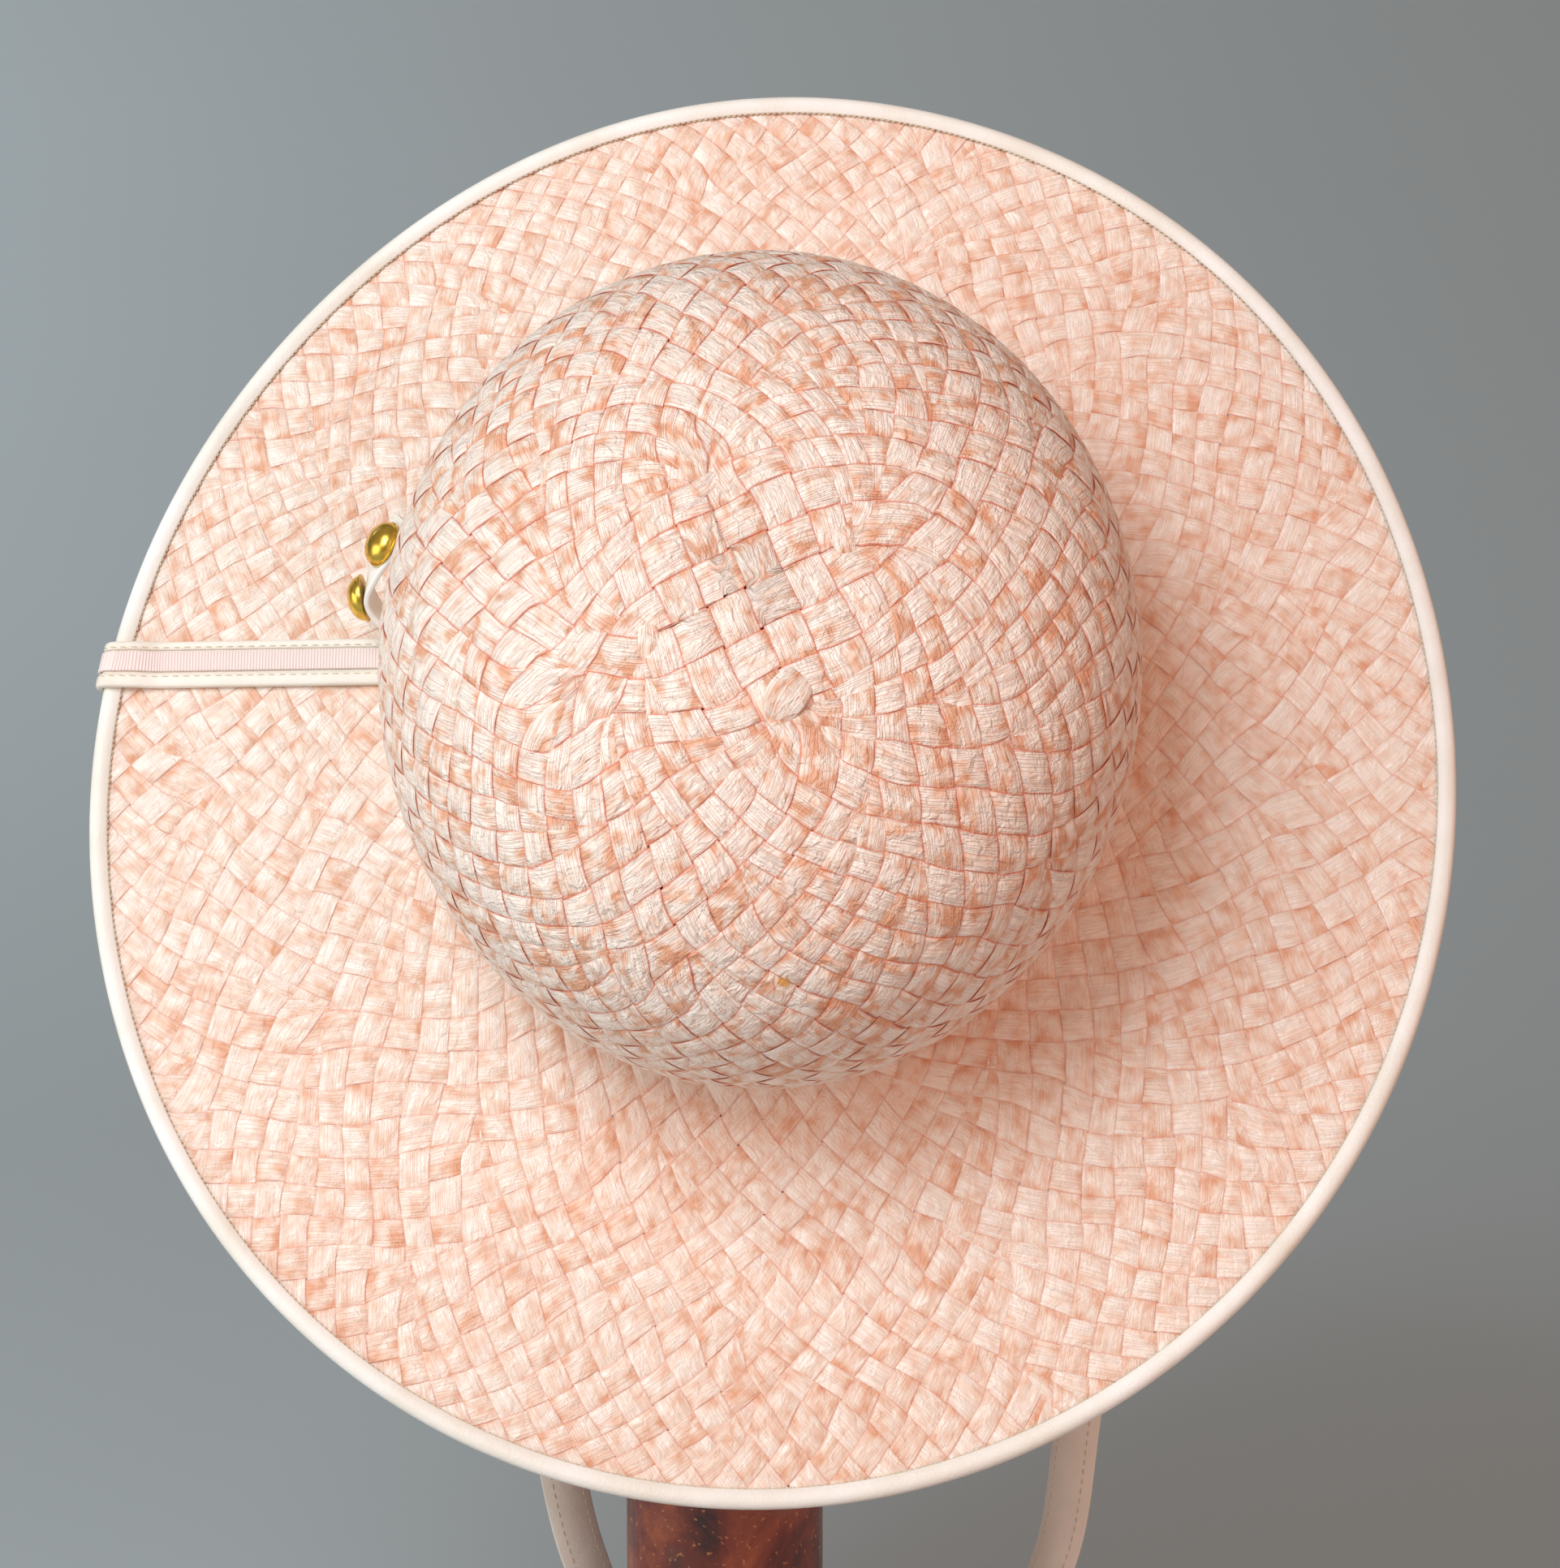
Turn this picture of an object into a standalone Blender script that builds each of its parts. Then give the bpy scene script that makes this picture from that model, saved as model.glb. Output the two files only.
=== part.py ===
"""A woven straw sun hat with a bound brim and a chin strap, hung on a round post with a foot plate.

All sizes are metres and +Z is up. The origin is at the middle of the foot plate's underside, on the
post's axis, and the hat's crown faces -Y. The hat has a frame of its own: x runs to its right, v runs
up the brim's plane and w runs out along the crown's axis, all from the middle of the head line.
"""
import math

import bmesh
import bpy
import numpy as np

# Where the hat hangs: its axis is lifted from the horizontal and turned a little to its right
HAT_CENTRE = (0.012, 0.0118, 0.325)
HAT_LIFT = math.radians(25.0)
HAT_TURN = math.radians(-2.75)

# Gap kept between pieces that touch, and half the stretch over which a slope is measured
GAP = 0.0003
SLOPE_STEP = 0.002

# Crown: half sizes at its widest, how much of them is left at the head line, and its dome
STRAW_THICKNESS = 0.0015
CROWN_HALF_WIDTH = 0.0938
CROWN_HALF_LENGTH = 0.1042
CROWN_HEIGHT = 0.110
CROWN_WIDEST_HEIGHT = 0.045
HEAD_LINE_SHARE = 0.90
DOME_POWER = 2.55
ROUND_STEPS = 64
CROWN_WALL_STEPS = 4
CROWN_DOME_STEPS = 10

# Brim: half sizes of its bound edge, which turns a little on the crown and reaches further in front
EDGE_HALF_WIDTH = 0.1753
EDGE_HALF_LENGTH = 0.1878
EDGE_TURN = math.radians(-8.7)
FRONT_REACH = 0.0145
BRIM_STEPS = 5
# Gentle waves of the brim: bends round the brim, height at the edge, and where the first crest stands
BRIM_WAVES = (
    # bends, height, crest
    (2, 0.0022, math.radians(70.0)),
    (5, 0.0012, math.radians(28.0)),
)

# Rolled binding round the brim's edge: it reaches past the straw and holds it in a slot
BINDING_REACH = 0.0025
BINDING_HALF_THICKNESS = 0.0020
BINDING_DEPTH = 0.0024
BINDING_LIP_DROP = 0.0004
BINDING_ROUND_STEPS = 4

# Strap of cream leather with raised edges and a ribbon in its channel
STRAP_UPPER_EDGE = 0.0024
STRAP_LOWER_EDGE = 0.0037
STRAP_CHANNEL = 0.0063
STRAP_WIDTH = STRAP_UPPER_EDGE + STRAP_CHANNEL + STRAP_LOWER_EDGE
STRAP_FLOOR = 0.0010
STRAP_EDGE_HEIGHT = 0.0019
RIBBON_THICKNESS = 0.0010
RIBBON_GAP = 0.0005

# Strap over the brim: how far above the brim's middle it lies, and where its two ends stop
BRIM_STRAP_HEIGHT = 0.0160
BRIM_STRAP_INNER = 0.0905
BRIM_STRAP_UNDER_END = 0.1010
BRIM_STRAP_RUN_STEPS = 7
BRIM_STRAP_LIFT = 0.0120
BRIM_STRAP_SHOULDER = 0.0012
BRIM_STRAP_ROUND_STEPS = 8
BRIM_STRAP_ROUND_GAP = 0.0004

# Chin strap: where its ends lie on the brim's underside, and its route from the left end, round behind
# the post, to the right one. Route points are offsets from the hat's centre along the part's axes.
# Twist turns the strap's width from the hat's x towards +Y at the bottom.
CHIN_STRAP_SEAT_X = 0.0920
CHIN_STRAP_SEAT_HEIGHTS = (0.022, 0.011, 0.000)
CHIN_STRAP_ROUTE = (
    # x, y, z, twist
    (-0.0885, 0.0036, -0.0220, 0),
    (-0.0780, 0.0042, -0.0800, 0),
    (-0.0675, 0.0060, -0.1400, 4),
    (-0.0575, 0.0085, -0.2000, 12),
    (-0.0507, 0.0115, -0.2320, 24),
    (-0.0380, 0.0168, -0.2620, 45),
    (-0.0160, 0.0218, -0.2850, 72),
    (0.0134, 0.0236, -0.2940, 90),
    (0.0430, 0.0215, -0.2850, 108),
    (0.0650, 0.0166, -0.2620, 135),
    (0.0775, 0.0115, -0.2320, 156),
    (0.0825, 0.0085, -0.1950, 168),
    (0.0860, 0.0045, -0.1400, 176),
    (0.0885, 0.0008, -0.0800, 180),
    (0.0905, -0.0030, -0.0220, 180),
)
CHIN_STRAP_STEPS = 100

# Bowed tab at the crown's left, in the hat's own x, v and w, with the way its face looks
TAB_WIDTH = 0.0120
TAB_THICKNESS = 0.0016
TAB_STEPS = 16
TAB_ROUTE = (
    # x, v, w, face x, face v, face w
    (-0.0884, 0.0208, 0.0105, -0.30, -0.80, -0.52),
    (-0.0938, 0.0222, 0.0118, -0.55, -0.60, -0.58),
    (-0.0990, 0.0252, 0.0145, -0.90, -0.30, -0.20),
    (-0.1015, 0.0290, 0.0185, -1.00, 0.05, 0.10),
    (-0.0990, 0.0345, 0.0245, -0.88, 0.20, 0.45),
    (-0.0945, 0.0395, 0.0290, -0.68, 0.30, 0.68),
    (-0.0908, 0.0440, 0.0308, -0.55, 0.35, 0.75),
)

# Dome studs on the tab, by how far along it they sit
STUD_RADIUS = 0.0062
STUD_HEIGHT = 0.0046
STUD_FLANGE = 0.0006
STUD_SIDES = 24
STUD_DOME_STEPS = 5
STUDS = (
    # name, share of the tab's length
    ("stud_lower", 0.46),
    ("stud_upper", 0.80),
)

# Stand
POST_RADIUS = 0.0260
POST_SIDES = 64
POST_CHAMFER = 0.0012
POST_TOP_TRIES = 24
BASE_RADIUS = 0.090
BASE_THICKNESS = 0.012
BASE_ROUNDING = 0.003
BASE_ROUND_STEPS = 3
BASE_LOWER_CHAMFER = 0.001


def hat_axes():
    """The hat's x, v and w directions in the part's frame, as the columns of a matrix."""
    turn, lift = HAT_TURN, HAT_LIFT
    w = np.array([math.sin(turn), -math.cos(lift) * math.cos(turn), math.sin(lift) * math.cos(turn)])
    x = np.array([1.0, 0.0, 0.0]) - w * w[0]
    x /= np.linalg.norm(x)
    return np.column_stack([x, np.cross(w, x), w])


AXES = hat_axes()


def to_world(points):
    """Points given in the hat's own x, v and w, in the part's frame."""
    return np.asarray(points, dtype=float) @ AXES.T + np.array(HAT_CENTRE)


def oval(half_width, half_length, angle):
    """Distance from an oval's middle to its edge, in the direction of the angle."""
    across, along = half_length * np.cos(angle), half_width * np.sin(angle)
    return half_width * half_length / np.hypot(across, along)


def crown_profile():
    """Share of the widest size and height of each ring, from the head line to just below the top."""
    climb = np.linspace(0.0, 1.0, CROWN_WALL_STEPS + 1)
    wall = HEAD_LINE_SHARE + (1.0 - HEAD_LINE_SHARE) * np.sin(climb * math.pi / 2)
    turn = np.linspace(0.0, math.pi / 2, CROWN_DOME_STEPS + 1)[1:-1]
    dome = np.cos(turn) ** (2.0 / DOME_POWER)
    rise = np.sin(turn) ** (2.0 / DOME_POWER)
    heights = CROWN_WIDEST_HEIGHT + (CROWN_HEIGHT - CROWN_WIDEST_HEIGHT) * rise
    return np.append(wall, dome), np.append(climb * CROWN_WIDEST_HEIGHT, heights)


def crown_share(height):
    """Share of the widest size that the crown has at one height."""
    if height <= CROWN_WIDEST_HEIGHT:
        climb = height / CROWN_WIDEST_HEIGHT
        return HEAD_LINE_SHARE + (1.0 - HEAD_LINE_SHARE) * math.sin(climb * math.pi / 2)
    rise = (height - CROWN_WIDEST_HEIGHT) / (CROWN_HEIGHT - CROWN_WIDEST_HEIGHT)
    return max(0.0, 1.0 - rise ** DOME_POWER) ** (1.0 / DOME_POWER)


def brim_edge(angle):
    """Distance from the head line's middle to the outside of the bound edge."""
    return oval(EDGE_HALF_WIDTH, EDGE_HALF_LENGTH, angle - EDGE_TURN) - FRONT_REACH * np.sin(angle)


def brim_start(angle):
    """Distance from the middle to the straw's inner edge, clear of the crown's leaning wall."""
    lean = (1.0 - HEAD_LINE_SHARE) * CROWN_HALF_LENGTH * math.pi / 2 / CROWN_WIDEST_HEIGHT
    head = oval(CROWN_HALF_WIDTH, CROWN_HALF_LENGTH, angle) * HEAD_LINE_SHARE
    return head + STRAW_THICKNESS * lean + GAP


def brim_height(radius, angle):
    """Height of the middle of the brim's straw, flat at the crown and waved towards the edge."""
    start = brim_start(angle)
    share = np.clip((radius - start) / (brim_edge(angle) - start), 0.0, 1.0)
    wave = sum(height * np.cos(bends * (angle - crest)) for bends, height, crest in BRIM_WAVES)
    return STRAW_THICKNESS / 2 + wave * share ** 2


def brim_point(x, v):
    """A point in the middle of the brim's straw, and the straw's normal there."""
    def height(px, pv):
        return brim_height(math.hypot(px, pv), math.atan2(pv, px))
    step = SLOPE_STEP
    slope_x = (height(x + step, v) - height(x - step, v)) / (2 * step)
    slope_v = (height(x, v + step) - height(x, v - step)) / (2 * step)
    normal = np.array([-slope_x, -slope_v, 1.0])
    return np.array([x, v, height(x, v)]), normal / np.linalg.norm(normal)


def add_piece(name, points, faces, colour, roughness, metallic=0.0):
    """One named object with its own material, with its faces turned outwards."""
    mesh = bpy.data.meshes.new(name)
    mesh.from_pydata([tuple(p) for p in points], [], faces)
    work = bmesh.new()
    work.from_mesh(mesh)
    bmesh.ops.recalc_face_normals(work, faces=work.faces)
    work.to_mesh(mesh)
    work.free()
    piece = bpy.data.objects.new(name, mesh)
    bpy.context.collection.objects.link(piece)
    material = bpy.data.materials.new(name)
    material.use_nodes = True
    shader = material.node_tree.nodes["Principled BSDF"]
    shader.inputs["Base Color"].default_value = (*colour, 1.0)
    shader.inputs["Roughness"].default_value = roughness
    shader.inputs["Metallic"].default_value = metallic
    mesh.materials.append(material)
    mesh.shade_smooth()
    mesh.set_sharp_from_angle(angle=math.radians(40.0))
    return piece


def rings_to_faces(rings, sides, closed_path=False, closed_section=True):
    """Four-sided faces between neighbouring rings of points."""
    faces = []
    ring_pairs = rings if closed_path else rings - 1
    side_pairs = sides if closed_section else sides - 1
    for ring in range(ring_pairs):
        this, after = ring * sides, (ring + 1) % rings * sides
        for side in range(side_pairs):
            beside = (side + 1) % sides
            faces.append((this + side, this + beside, after + beside, after + side))
    return faces


def sweep(path, across, up, section):
    """A section carried along an open path: its points and its faces, with flat ends."""
    section = np.array(section)
    rings = (path[:, None, :] + section[None, :, :1] * across[:, None, :]
             + section[None, :, 1:] * up[:, None, :])
    count, sides = len(path), len(section)
    faces = rings_to_faces(count, sides)
    faces.append(tuple(range(sides)))
    faces.append(tuple((count - 1) * sides + side for side in range(sides)))
    return rings.reshape(-1, 3), faces


def smooth_route(points, steps):
    """Rows read at even steps from a smooth curve through the route's own rows."""
    points = np.array(points, dtype=float)
    spans = np.linalg.norm(np.diff(points[:, :3], axis=0), axis=1)
    knots = np.append(0.0, np.cumsum(spans))
    slopes = np.gradient(points, knots, axis=0)
    wanted = np.linspace(0.0, knots[-1], steps + 1)
    span = np.clip(np.searchsorted(knots, wanted, side="right") - 1, 0, len(spans) - 1)
    length = spans[span][:, None]
    t = (wanted - knots[span])[:, None] / length
    start, end = points[span], points[span + 1]
    leave, arrive = slopes[span] * length, slopes[span + 1] * length
    return (start * (2 * t ** 3 - 3 * t ** 2 + 1) + leave * (t ** 3 - 2 * t ** 2 + t)
            + end * (3 * t ** 2 - 2 * t ** 3) + arrive * (t ** 3 - t ** 2))


def normalised(vectors):
    """Vectors brought to a length of one."""
    return vectors / np.linalg.norm(vectors, axis=1)[:, None]


def squared_to(vectors, tangents):
    """Vectors with what lies along the tangents taken out, brought to a length of one."""
    return normalised(vectors - (vectors * tangents).sum(axis=1)[:, None] * tangents)


def strap_section():
    """Leather with two raised edges: across the strap, then above its back."""
    left, right = -STRAP_WIDTH / 2, STRAP_WIDTH / 2
    inner_left, inner_right = left + STRAP_LOWER_EDGE, right - STRAP_UPPER_EDGE
    return ((left, 0.0), (right, 0.0), (right, STRAP_EDGE_HEIGHT), (inner_right, STRAP_EDGE_HEIGHT),
            (inner_right, STRAP_FLOOR), (inner_left, STRAP_FLOOR),
            (inner_left, STRAP_EDGE_HEIGHT), (left, STRAP_EDGE_HEIGHT))


def ribbon_section():
    """Ribbon that lies in the strap's channel."""
    left = -STRAP_WIDTH / 2 + STRAP_LOWER_EDGE + RIBBON_GAP
    right = STRAP_WIDTH / 2 - STRAP_UPPER_EDGE - RIBBON_GAP
    foot = STRAP_FLOOR + RIBBON_GAP
    return (left, foot), (right, foot), (right, foot + RIBBON_THICKNESS), (left, foot + RIBBON_THICKNESS)


def make_crown():
    """The woven crown: an open dome over the head line, with its wall turned inwards."""
    angles = np.arange(ROUND_STEPS) * math.tau / ROUND_STEPS
    shares, heights = crown_profile()
    radius = oval(CROWN_HALF_WIDTH, CROWN_HALF_LENGTH, angles)
    x = shares[:, None] * radius * np.cos(angles)
    v = shares[:, None] * radius * np.sin(angles)
    w = np.broadcast_to(heights[:, None], x.shape)
    rings = np.stack([x, v, w], axis=-1).reshape(-1, 3)
    points = to_world(np.vstack([rings, [[0.0, 0.0, CROWN_HEIGHT]]]))
    faces = rings_to_faces(len(heights), ROUND_STEPS)
    top, last = len(points) - 1, (len(heights) - 1) * ROUND_STEPS
    for side in range(ROUND_STEPS):
        faces.append((last + side, last + (side + 1) % ROUND_STEPS, top))
    crown = add_piece("crown", points, faces, (0.90, 0.66, 0.54), 0.45)
    face_outwards(crown, to_world([[0.0, 0.0, CROWN_WIDEST_HEIGHT]])[0])
    wall = crown.modifiers.new("wall", "SOLIDIFY")
    wall.thickness = STRAW_THICKNESS
    wall.offset = -1.0
    wall.use_even_offset = True
    return crown


def face_outwards(piece, inside):
    """Turns an open shell so that its faces look away from a point inside it."""
    face = piece.data.polygons[0]
    middle = np.array(piece.data.vertices[face.vertices[0]].co)
    if np.dot(np.array(face.normal), middle - inside) < 0:
        piece.data.flip_normals()


def make_brim():
    """The woven brim: a waved ring that starts at the crown and ends inside the binding."""
    angles = np.arange(ROUND_STEPS) * math.tau / ROUND_STEPS
    share = np.linspace(0.0, 1.0, BRIM_STEPS + 1)[:, None]
    start, edge = brim_start(angles), brim_edge(angles) - BINDING_REACH
    radius = start + (edge - start) * share
    w = brim_height(radius, angles)
    points = np.stack([radius * np.cos(angles), radius * np.sin(angles), w], axis=-1).reshape(-1, 3)
    faces = rings_to_faces(BRIM_STEPS + 1, ROUND_STEPS)
    brim = add_piece("brim", to_world(points), faces, (0.92, 0.70, 0.58), 0.5)
    wall = brim.modifiers.new("wall", "SOLIDIFY")
    wall.thickness = STRAW_THICKNESS
    wall.offset = 0.0
    wall.use_even_offset = True
    return brim


def binding_section():
    """Rolled edge round the straw: outwards from the straw's edge, then above its middle."""
    slot_top = STRAW_THICKNESS / 2 + GAP
    middle = BINDING_REACH - BINDING_HALF_THICKNESS
    turn = np.linspace(math.pi / 2, -math.pi / 2, BINDING_ROUND_STEPS + 1)
    half = BINDING_HALF_THICKNESS
    roll = [(middle + half * math.cos(a), half * math.sin(a)) for a in turn]
    lip = BINDING_HALF_THICKNESS - BINDING_LIP_DROP
    return [(-BINDING_DEPTH, slot_top), (-BINDING_DEPTH, lip), *roll, (-BINDING_DEPTH, -lip),
            (-BINDING_DEPTH, -slot_top), (GAP, -slot_top), (GAP, slot_top)]


def make_binding():
    """The cream rolled binding, one closed ring along the brim's edge."""
    angles = np.arange(ROUND_STEPS) * math.tau / ROUND_STEPS
    edge = brim_edge(angles) - BINDING_REACH
    section = np.array(binding_section())
    radius = edge[:, None] + section[None, :, 0]
    height = brim_height(edge, angles)[:, None] + section[None, :, 1]
    direction = np.stack([np.cos(angles), np.sin(angles)], axis=-1)
    points = np.concatenate([radius[..., None] * direction[:, None, :], height[..., None]], axis=-1)
    faces = rings_to_faces(ROUND_STEPS, len(section), closed_path=True)
    return add_piece("brim_binding", to_world(points.reshape(-1, 3)), faces, (0.88, 0.86, 0.80), 0.4)


def edge_distance(v):
    """How far left of the middle the straw's edge stands, at one height on the brim."""
    x = -EDGE_HALF_WIDTH
    for _ in range(8):
        angle = math.atan2(v, x)
        x = -(brim_edge(angle) - BINDING_REACH) * abs(math.cos(angle))
    return -x


def brim_strap_path():
    """Path of the strap's back: out over the brim, round the binding and home underneath."""
    v = BRIM_STRAP_HEIGHT
    edge = edge_distance(v)
    slant = (edge_distance(v + STRAP_WIDTH / 2) - edge_distance(v - STRAP_WIDTH / 2)) / STRAP_WIDTH
    flat = STRAW_THICKNESS / 2 + GAP
    clear = BINDING_HALF_THICKNESS + BRIM_STRAP_ROUND_GAP
    shoulder = edge - BINDING_DEPTH - BRIM_STRAP_SHOULDER
    middle = BINDING_REACH - BINDING_HALF_THICKNESS
    rows = []
    for x in np.linspace(BRIM_STRAP_INNER, edge - BRIM_STRAP_LIFT, BRIM_STRAP_RUN_STEPS):
        rows.append((x, flat, 0.0))
    rows.append((shoulder, clear, 0.5))
    for turn in np.linspace(math.pi / 2, -math.pi / 2, BRIM_STRAP_ROUND_STEPS + 1):
        rows.append((edge + middle + clear * math.cos(turn), clear * math.sin(turn), 1.0))
    rows.append((shoulder, -clear, 0.5))
    for x in np.linspace(edge - BRIM_STRAP_LIFT, BRIM_STRAP_UNDER_END, BRIM_STRAP_RUN_STEPS):
        rows.append((x, -flat, 0.0))
    path, across, up = [], [], []
    for index, (x, above, slanted) in enumerate(rows):
        on_straw = min(x, edge - BINDING_DEPTH)
        point, normal = brim_point(-on_straw, v)
        point = point + np.array([on_straw - x, 0.0, 0.0]) + normal * above
        before, after = rows[max(index - 1, 0)], rows[min(index + 1, len(rows) - 1)]
        run = np.array([-(after[0] - before[0]), 0.0, after[1] - before[1]])
        width = np.array([-slant * slanted, 1.0, 0.0])
        width = width - normal * np.dot(width, normal)
        path.append(point)
        across.append(width)
        up.append(np.cross(width, run))
    return np.array(path), normalised(np.array(across)), normalised(np.array(up))


def make_brim_strap():
    """Cream strap over the left of the brim, wrapped round its edge, and the ribbon along it."""
    path, across, up = brim_strap_path()
    for name, section, colour, roughness in (
            ("brim_strap", strap_section(), (0.88, 0.86, 0.80), 0.45),
            ("brim_strap_ribbon", ribbon_section(), (0.93, 0.76, 0.70), 0.7)):
        points, faces = sweep(path, across, up, section)
        add_piece(name, to_world(points), faces, colour, roughness)


def chin_strap_path():
    """Path of the chin strap's back, with the directions across it and out of its ribbon face."""
    seats = [(*(AXES @ (-CHIN_STRAP_SEAT_X, v, -GAP)), 0.0) for v in CHIN_STRAP_SEAT_HEIGHTS]
    far_seats = [(*(AXES @ (CHIN_STRAP_SEAT_X, v, -GAP)), 180.0) for v in CHIN_STRAP_SEAT_HEIGHTS]
    rows = smooth_route(seats + list(CHIN_STRAP_ROUTE) + far_seats[::-1], CHIN_STRAP_STEPS)
    path = rows[:, :3] + np.array(HAT_CENTRE)
    twist = np.radians(rows[:, 3])
    tangents = normalised(np.gradient(path, axis=0))
    width = np.cos(twist)[:, None] * AXES[:, 0] + np.sin(twist)[:, None] * np.array([0.0, 1.0, 0.0])
    across = squared_to(width, tangents)
    return path, across, np.cross(across, tangents)


def make_chin_strap():
    """Cream chin strap, one whole loop, and the ribbon along its outer face."""
    path, across, up = chin_strap_path()
    for name, section, colour, roughness in (
            ("chin_strap", strap_section(), (0.85, 0.82, 0.75), 0.5),
            ("chin_strap_ribbon", ribbon_section(), (0.93, 0.76, 0.70), 0.7)):
        points, faces = sweep(path, across, up, section)
        add_piece(name, points, faces, colour, roughness)


def tab_path():
    """Path of the tab's back in the hat's frame, with the directions across it and out of its face."""
    rows = smooth_route(TAB_ROUTE, TAB_STEPS)
    path = rows[:, :3]
    tangents = normalised(np.gradient(path, axis=0))
    up = squared_to(rows[:, 3:], tangents)
    return path, np.cross(tangents, up), up


def make_tab():
    """The cream tab that bows off the crown at its left."""
    path, across, up = tab_path()
    half = TAB_WIDTH / 2
    section = ((-half, 0.0), (half, 0.0), (half, TAB_THICKNESS), (-half, TAB_THICKNESS))
    points, faces = sweep(path, across, up, section)
    return add_piece("side_tab", to_world(points), faces, (0.90, 0.88, 0.82), 0.4)


def make_stud(name, share):
    """A polished dome on a thin flange, seated on the tab's face."""
    path, across, up = tab_path()
    index = round(share * (len(path) - 1))
    out, side = up[index], across[index]
    other = np.cross(out, side)
    seat = path[index] + out * (TAB_THICKNESS + GAP)
    turn = np.linspace(0.0, math.pi / 2, STUD_DOME_STEPS + 1)[:-1]
    profile = [(STUD_RADIUS, 0.0), (STUD_RADIUS, STUD_FLANGE)]
    inner = STUD_RADIUS - STUD_FLANGE / 2
    profile += [(inner * math.cos(a), STUD_FLANGE + (STUD_HEIGHT - STUD_FLANGE) * math.sin(a)) for a in turn]
    angles = np.arange(STUD_SIDES) * math.tau / STUD_SIDES
    round_way = np.cos(angles)[:, None] * side + np.sin(angles)[:, None] * other
    rings = [seat + radius * round_way + height * out for radius, height in profile]
    points = np.vstack(rings + [[seat + STUD_HEIGHT * out]])
    faces = rings_to_faces(len(profile), STUD_SIDES)
    last, top = (len(profile) - 1) * STUD_SIDES, len(points) - 1
    faces += [(last + s, last + (s + 1) % STUD_SIDES, top) for s in range(STUD_SIDES)]
    faces.append(tuple(range(STUD_SIDES)))
    return add_piece(name, to_world(points), faces, (0.78, 0.60, 0.20), 0.2, 1.0)


def post_top():
    """Height of the post's end: the highest that stays inside the crown's wall."""
    angles = np.arange(POST_SIDES) * math.tau / POST_SIDES
    rim = np.stack([POST_RADIUS * np.cos(angles), POST_RADIUS * np.sin(angles)], axis=-1)
    low, high = HAT_CENTRE[2], HAT_CENTRE[2] + 2 * CROWN_HALF_LENGTH
    clear = STRAW_THICKNESS + 2 * GAP
    for _ in range(POST_TOP_TRIES):
        level = (low + high) / 2
        world = np.column_stack([rim, np.full(POST_SIDES, level)])
        hat = (world - np.array(HAT_CENTRE)) @ AXES
        inside = True
        for x, v, w in hat:
            if w <= 0.0:
                continue
            share = crown_share(w + clear) if w + clear < CROWN_HEIGHT else 0.0
            edge = oval(CROWN_HALF_WIDTH, CROWN_HALF_LENGTH, math.atan2(v, x)) * share - clear
            inside = inside and math.hypot(x, v) < edge
        low, high = (level, high) if inside else (low, level)
    return low


def turned(name, profile, sides, colour, roughness, metallic):
    """A solid turned about the post's axis, from radius and height pairs, bottom to top."""
    angles = np.arange(sides) * math.tau / sides
    circle = np.column_stack([np.cos(angles), np.sin(angles), np.zeros(sides)])
    rings = [radius * circle + np.array([0.0, 0.0, height]) for radius, height in profile]
    faces = rings_to_faces(len(profile), sides)
    faces.append(tuple(range(sides)))
    faces.append(tuple((len(profile) - 1) * sides + side for side in range(sides)))
    return add_piece(name, np.vstack(rings), faces, colour, roughness, metallic)


def make_post():
    """The round rust-brown post that the hat hangs on."""
    foot, top = BASE_THICKNESS + GAP, post_top()
    profile = ((POST_RADIUS, foot), (POST_RADIUS, top - POST_CHAMFER), (POST_RADIUS - POST_CHAMFER, top))
    return turned("stand_post", profile, POST_SIDES, (0.20, 0.06, 0.035), 0.35, 0.3)


def make_base():
    """The round foot plate under the post, its upper edge rounded."""
    turn = np.linspace(0.0, math.pi / 2, BASE_ROUND_STEPS + 1)
    inner, lower = BASE_RADIUS - BASE_ROUNDING, BASE_THICKNESS - BASE_ROUNDING
    profile = [(BASE_RADIUS - BASE_LOWER_CHAMFER, 0.0), (BASE_RADIUS, BASE_LOWER_CHAMFER)]
    profile += [(inner + BASE_ROUNDING * math.cos(a), lower + BASE_ROUNDING * math.sin(a)) for a in turn]
    return turned("stand_base", profile, POST_SIDES, (0.18, 0.06, 0.04), 0.4, 0.3)


def main():
    """Clears the scene and makes every piece."""
    for old in list(bpy.data.objects):
        bpy.data.objects.remove(old, do_unlink=True)
    make_crown()
    make_brim()
    make_binding()
    make_brim_strap()
    make_chin_strap()
    make_tab()
    for name, share in STUDS:
        make_stud(name, share)
    make_post()
    make_base()


main()
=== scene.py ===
"""Looks of a woven straw sun hat with a cream bound brim and straps, hung on a lacquered steel post.

The crown and brim are woven strip by strip. All sizes are metres in the part's frame, +Z up. The hat's
own frame has x to its right, v up the brim's plane and w out along the crown's axis, from the middle
of the head line.
"""
import math

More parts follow.
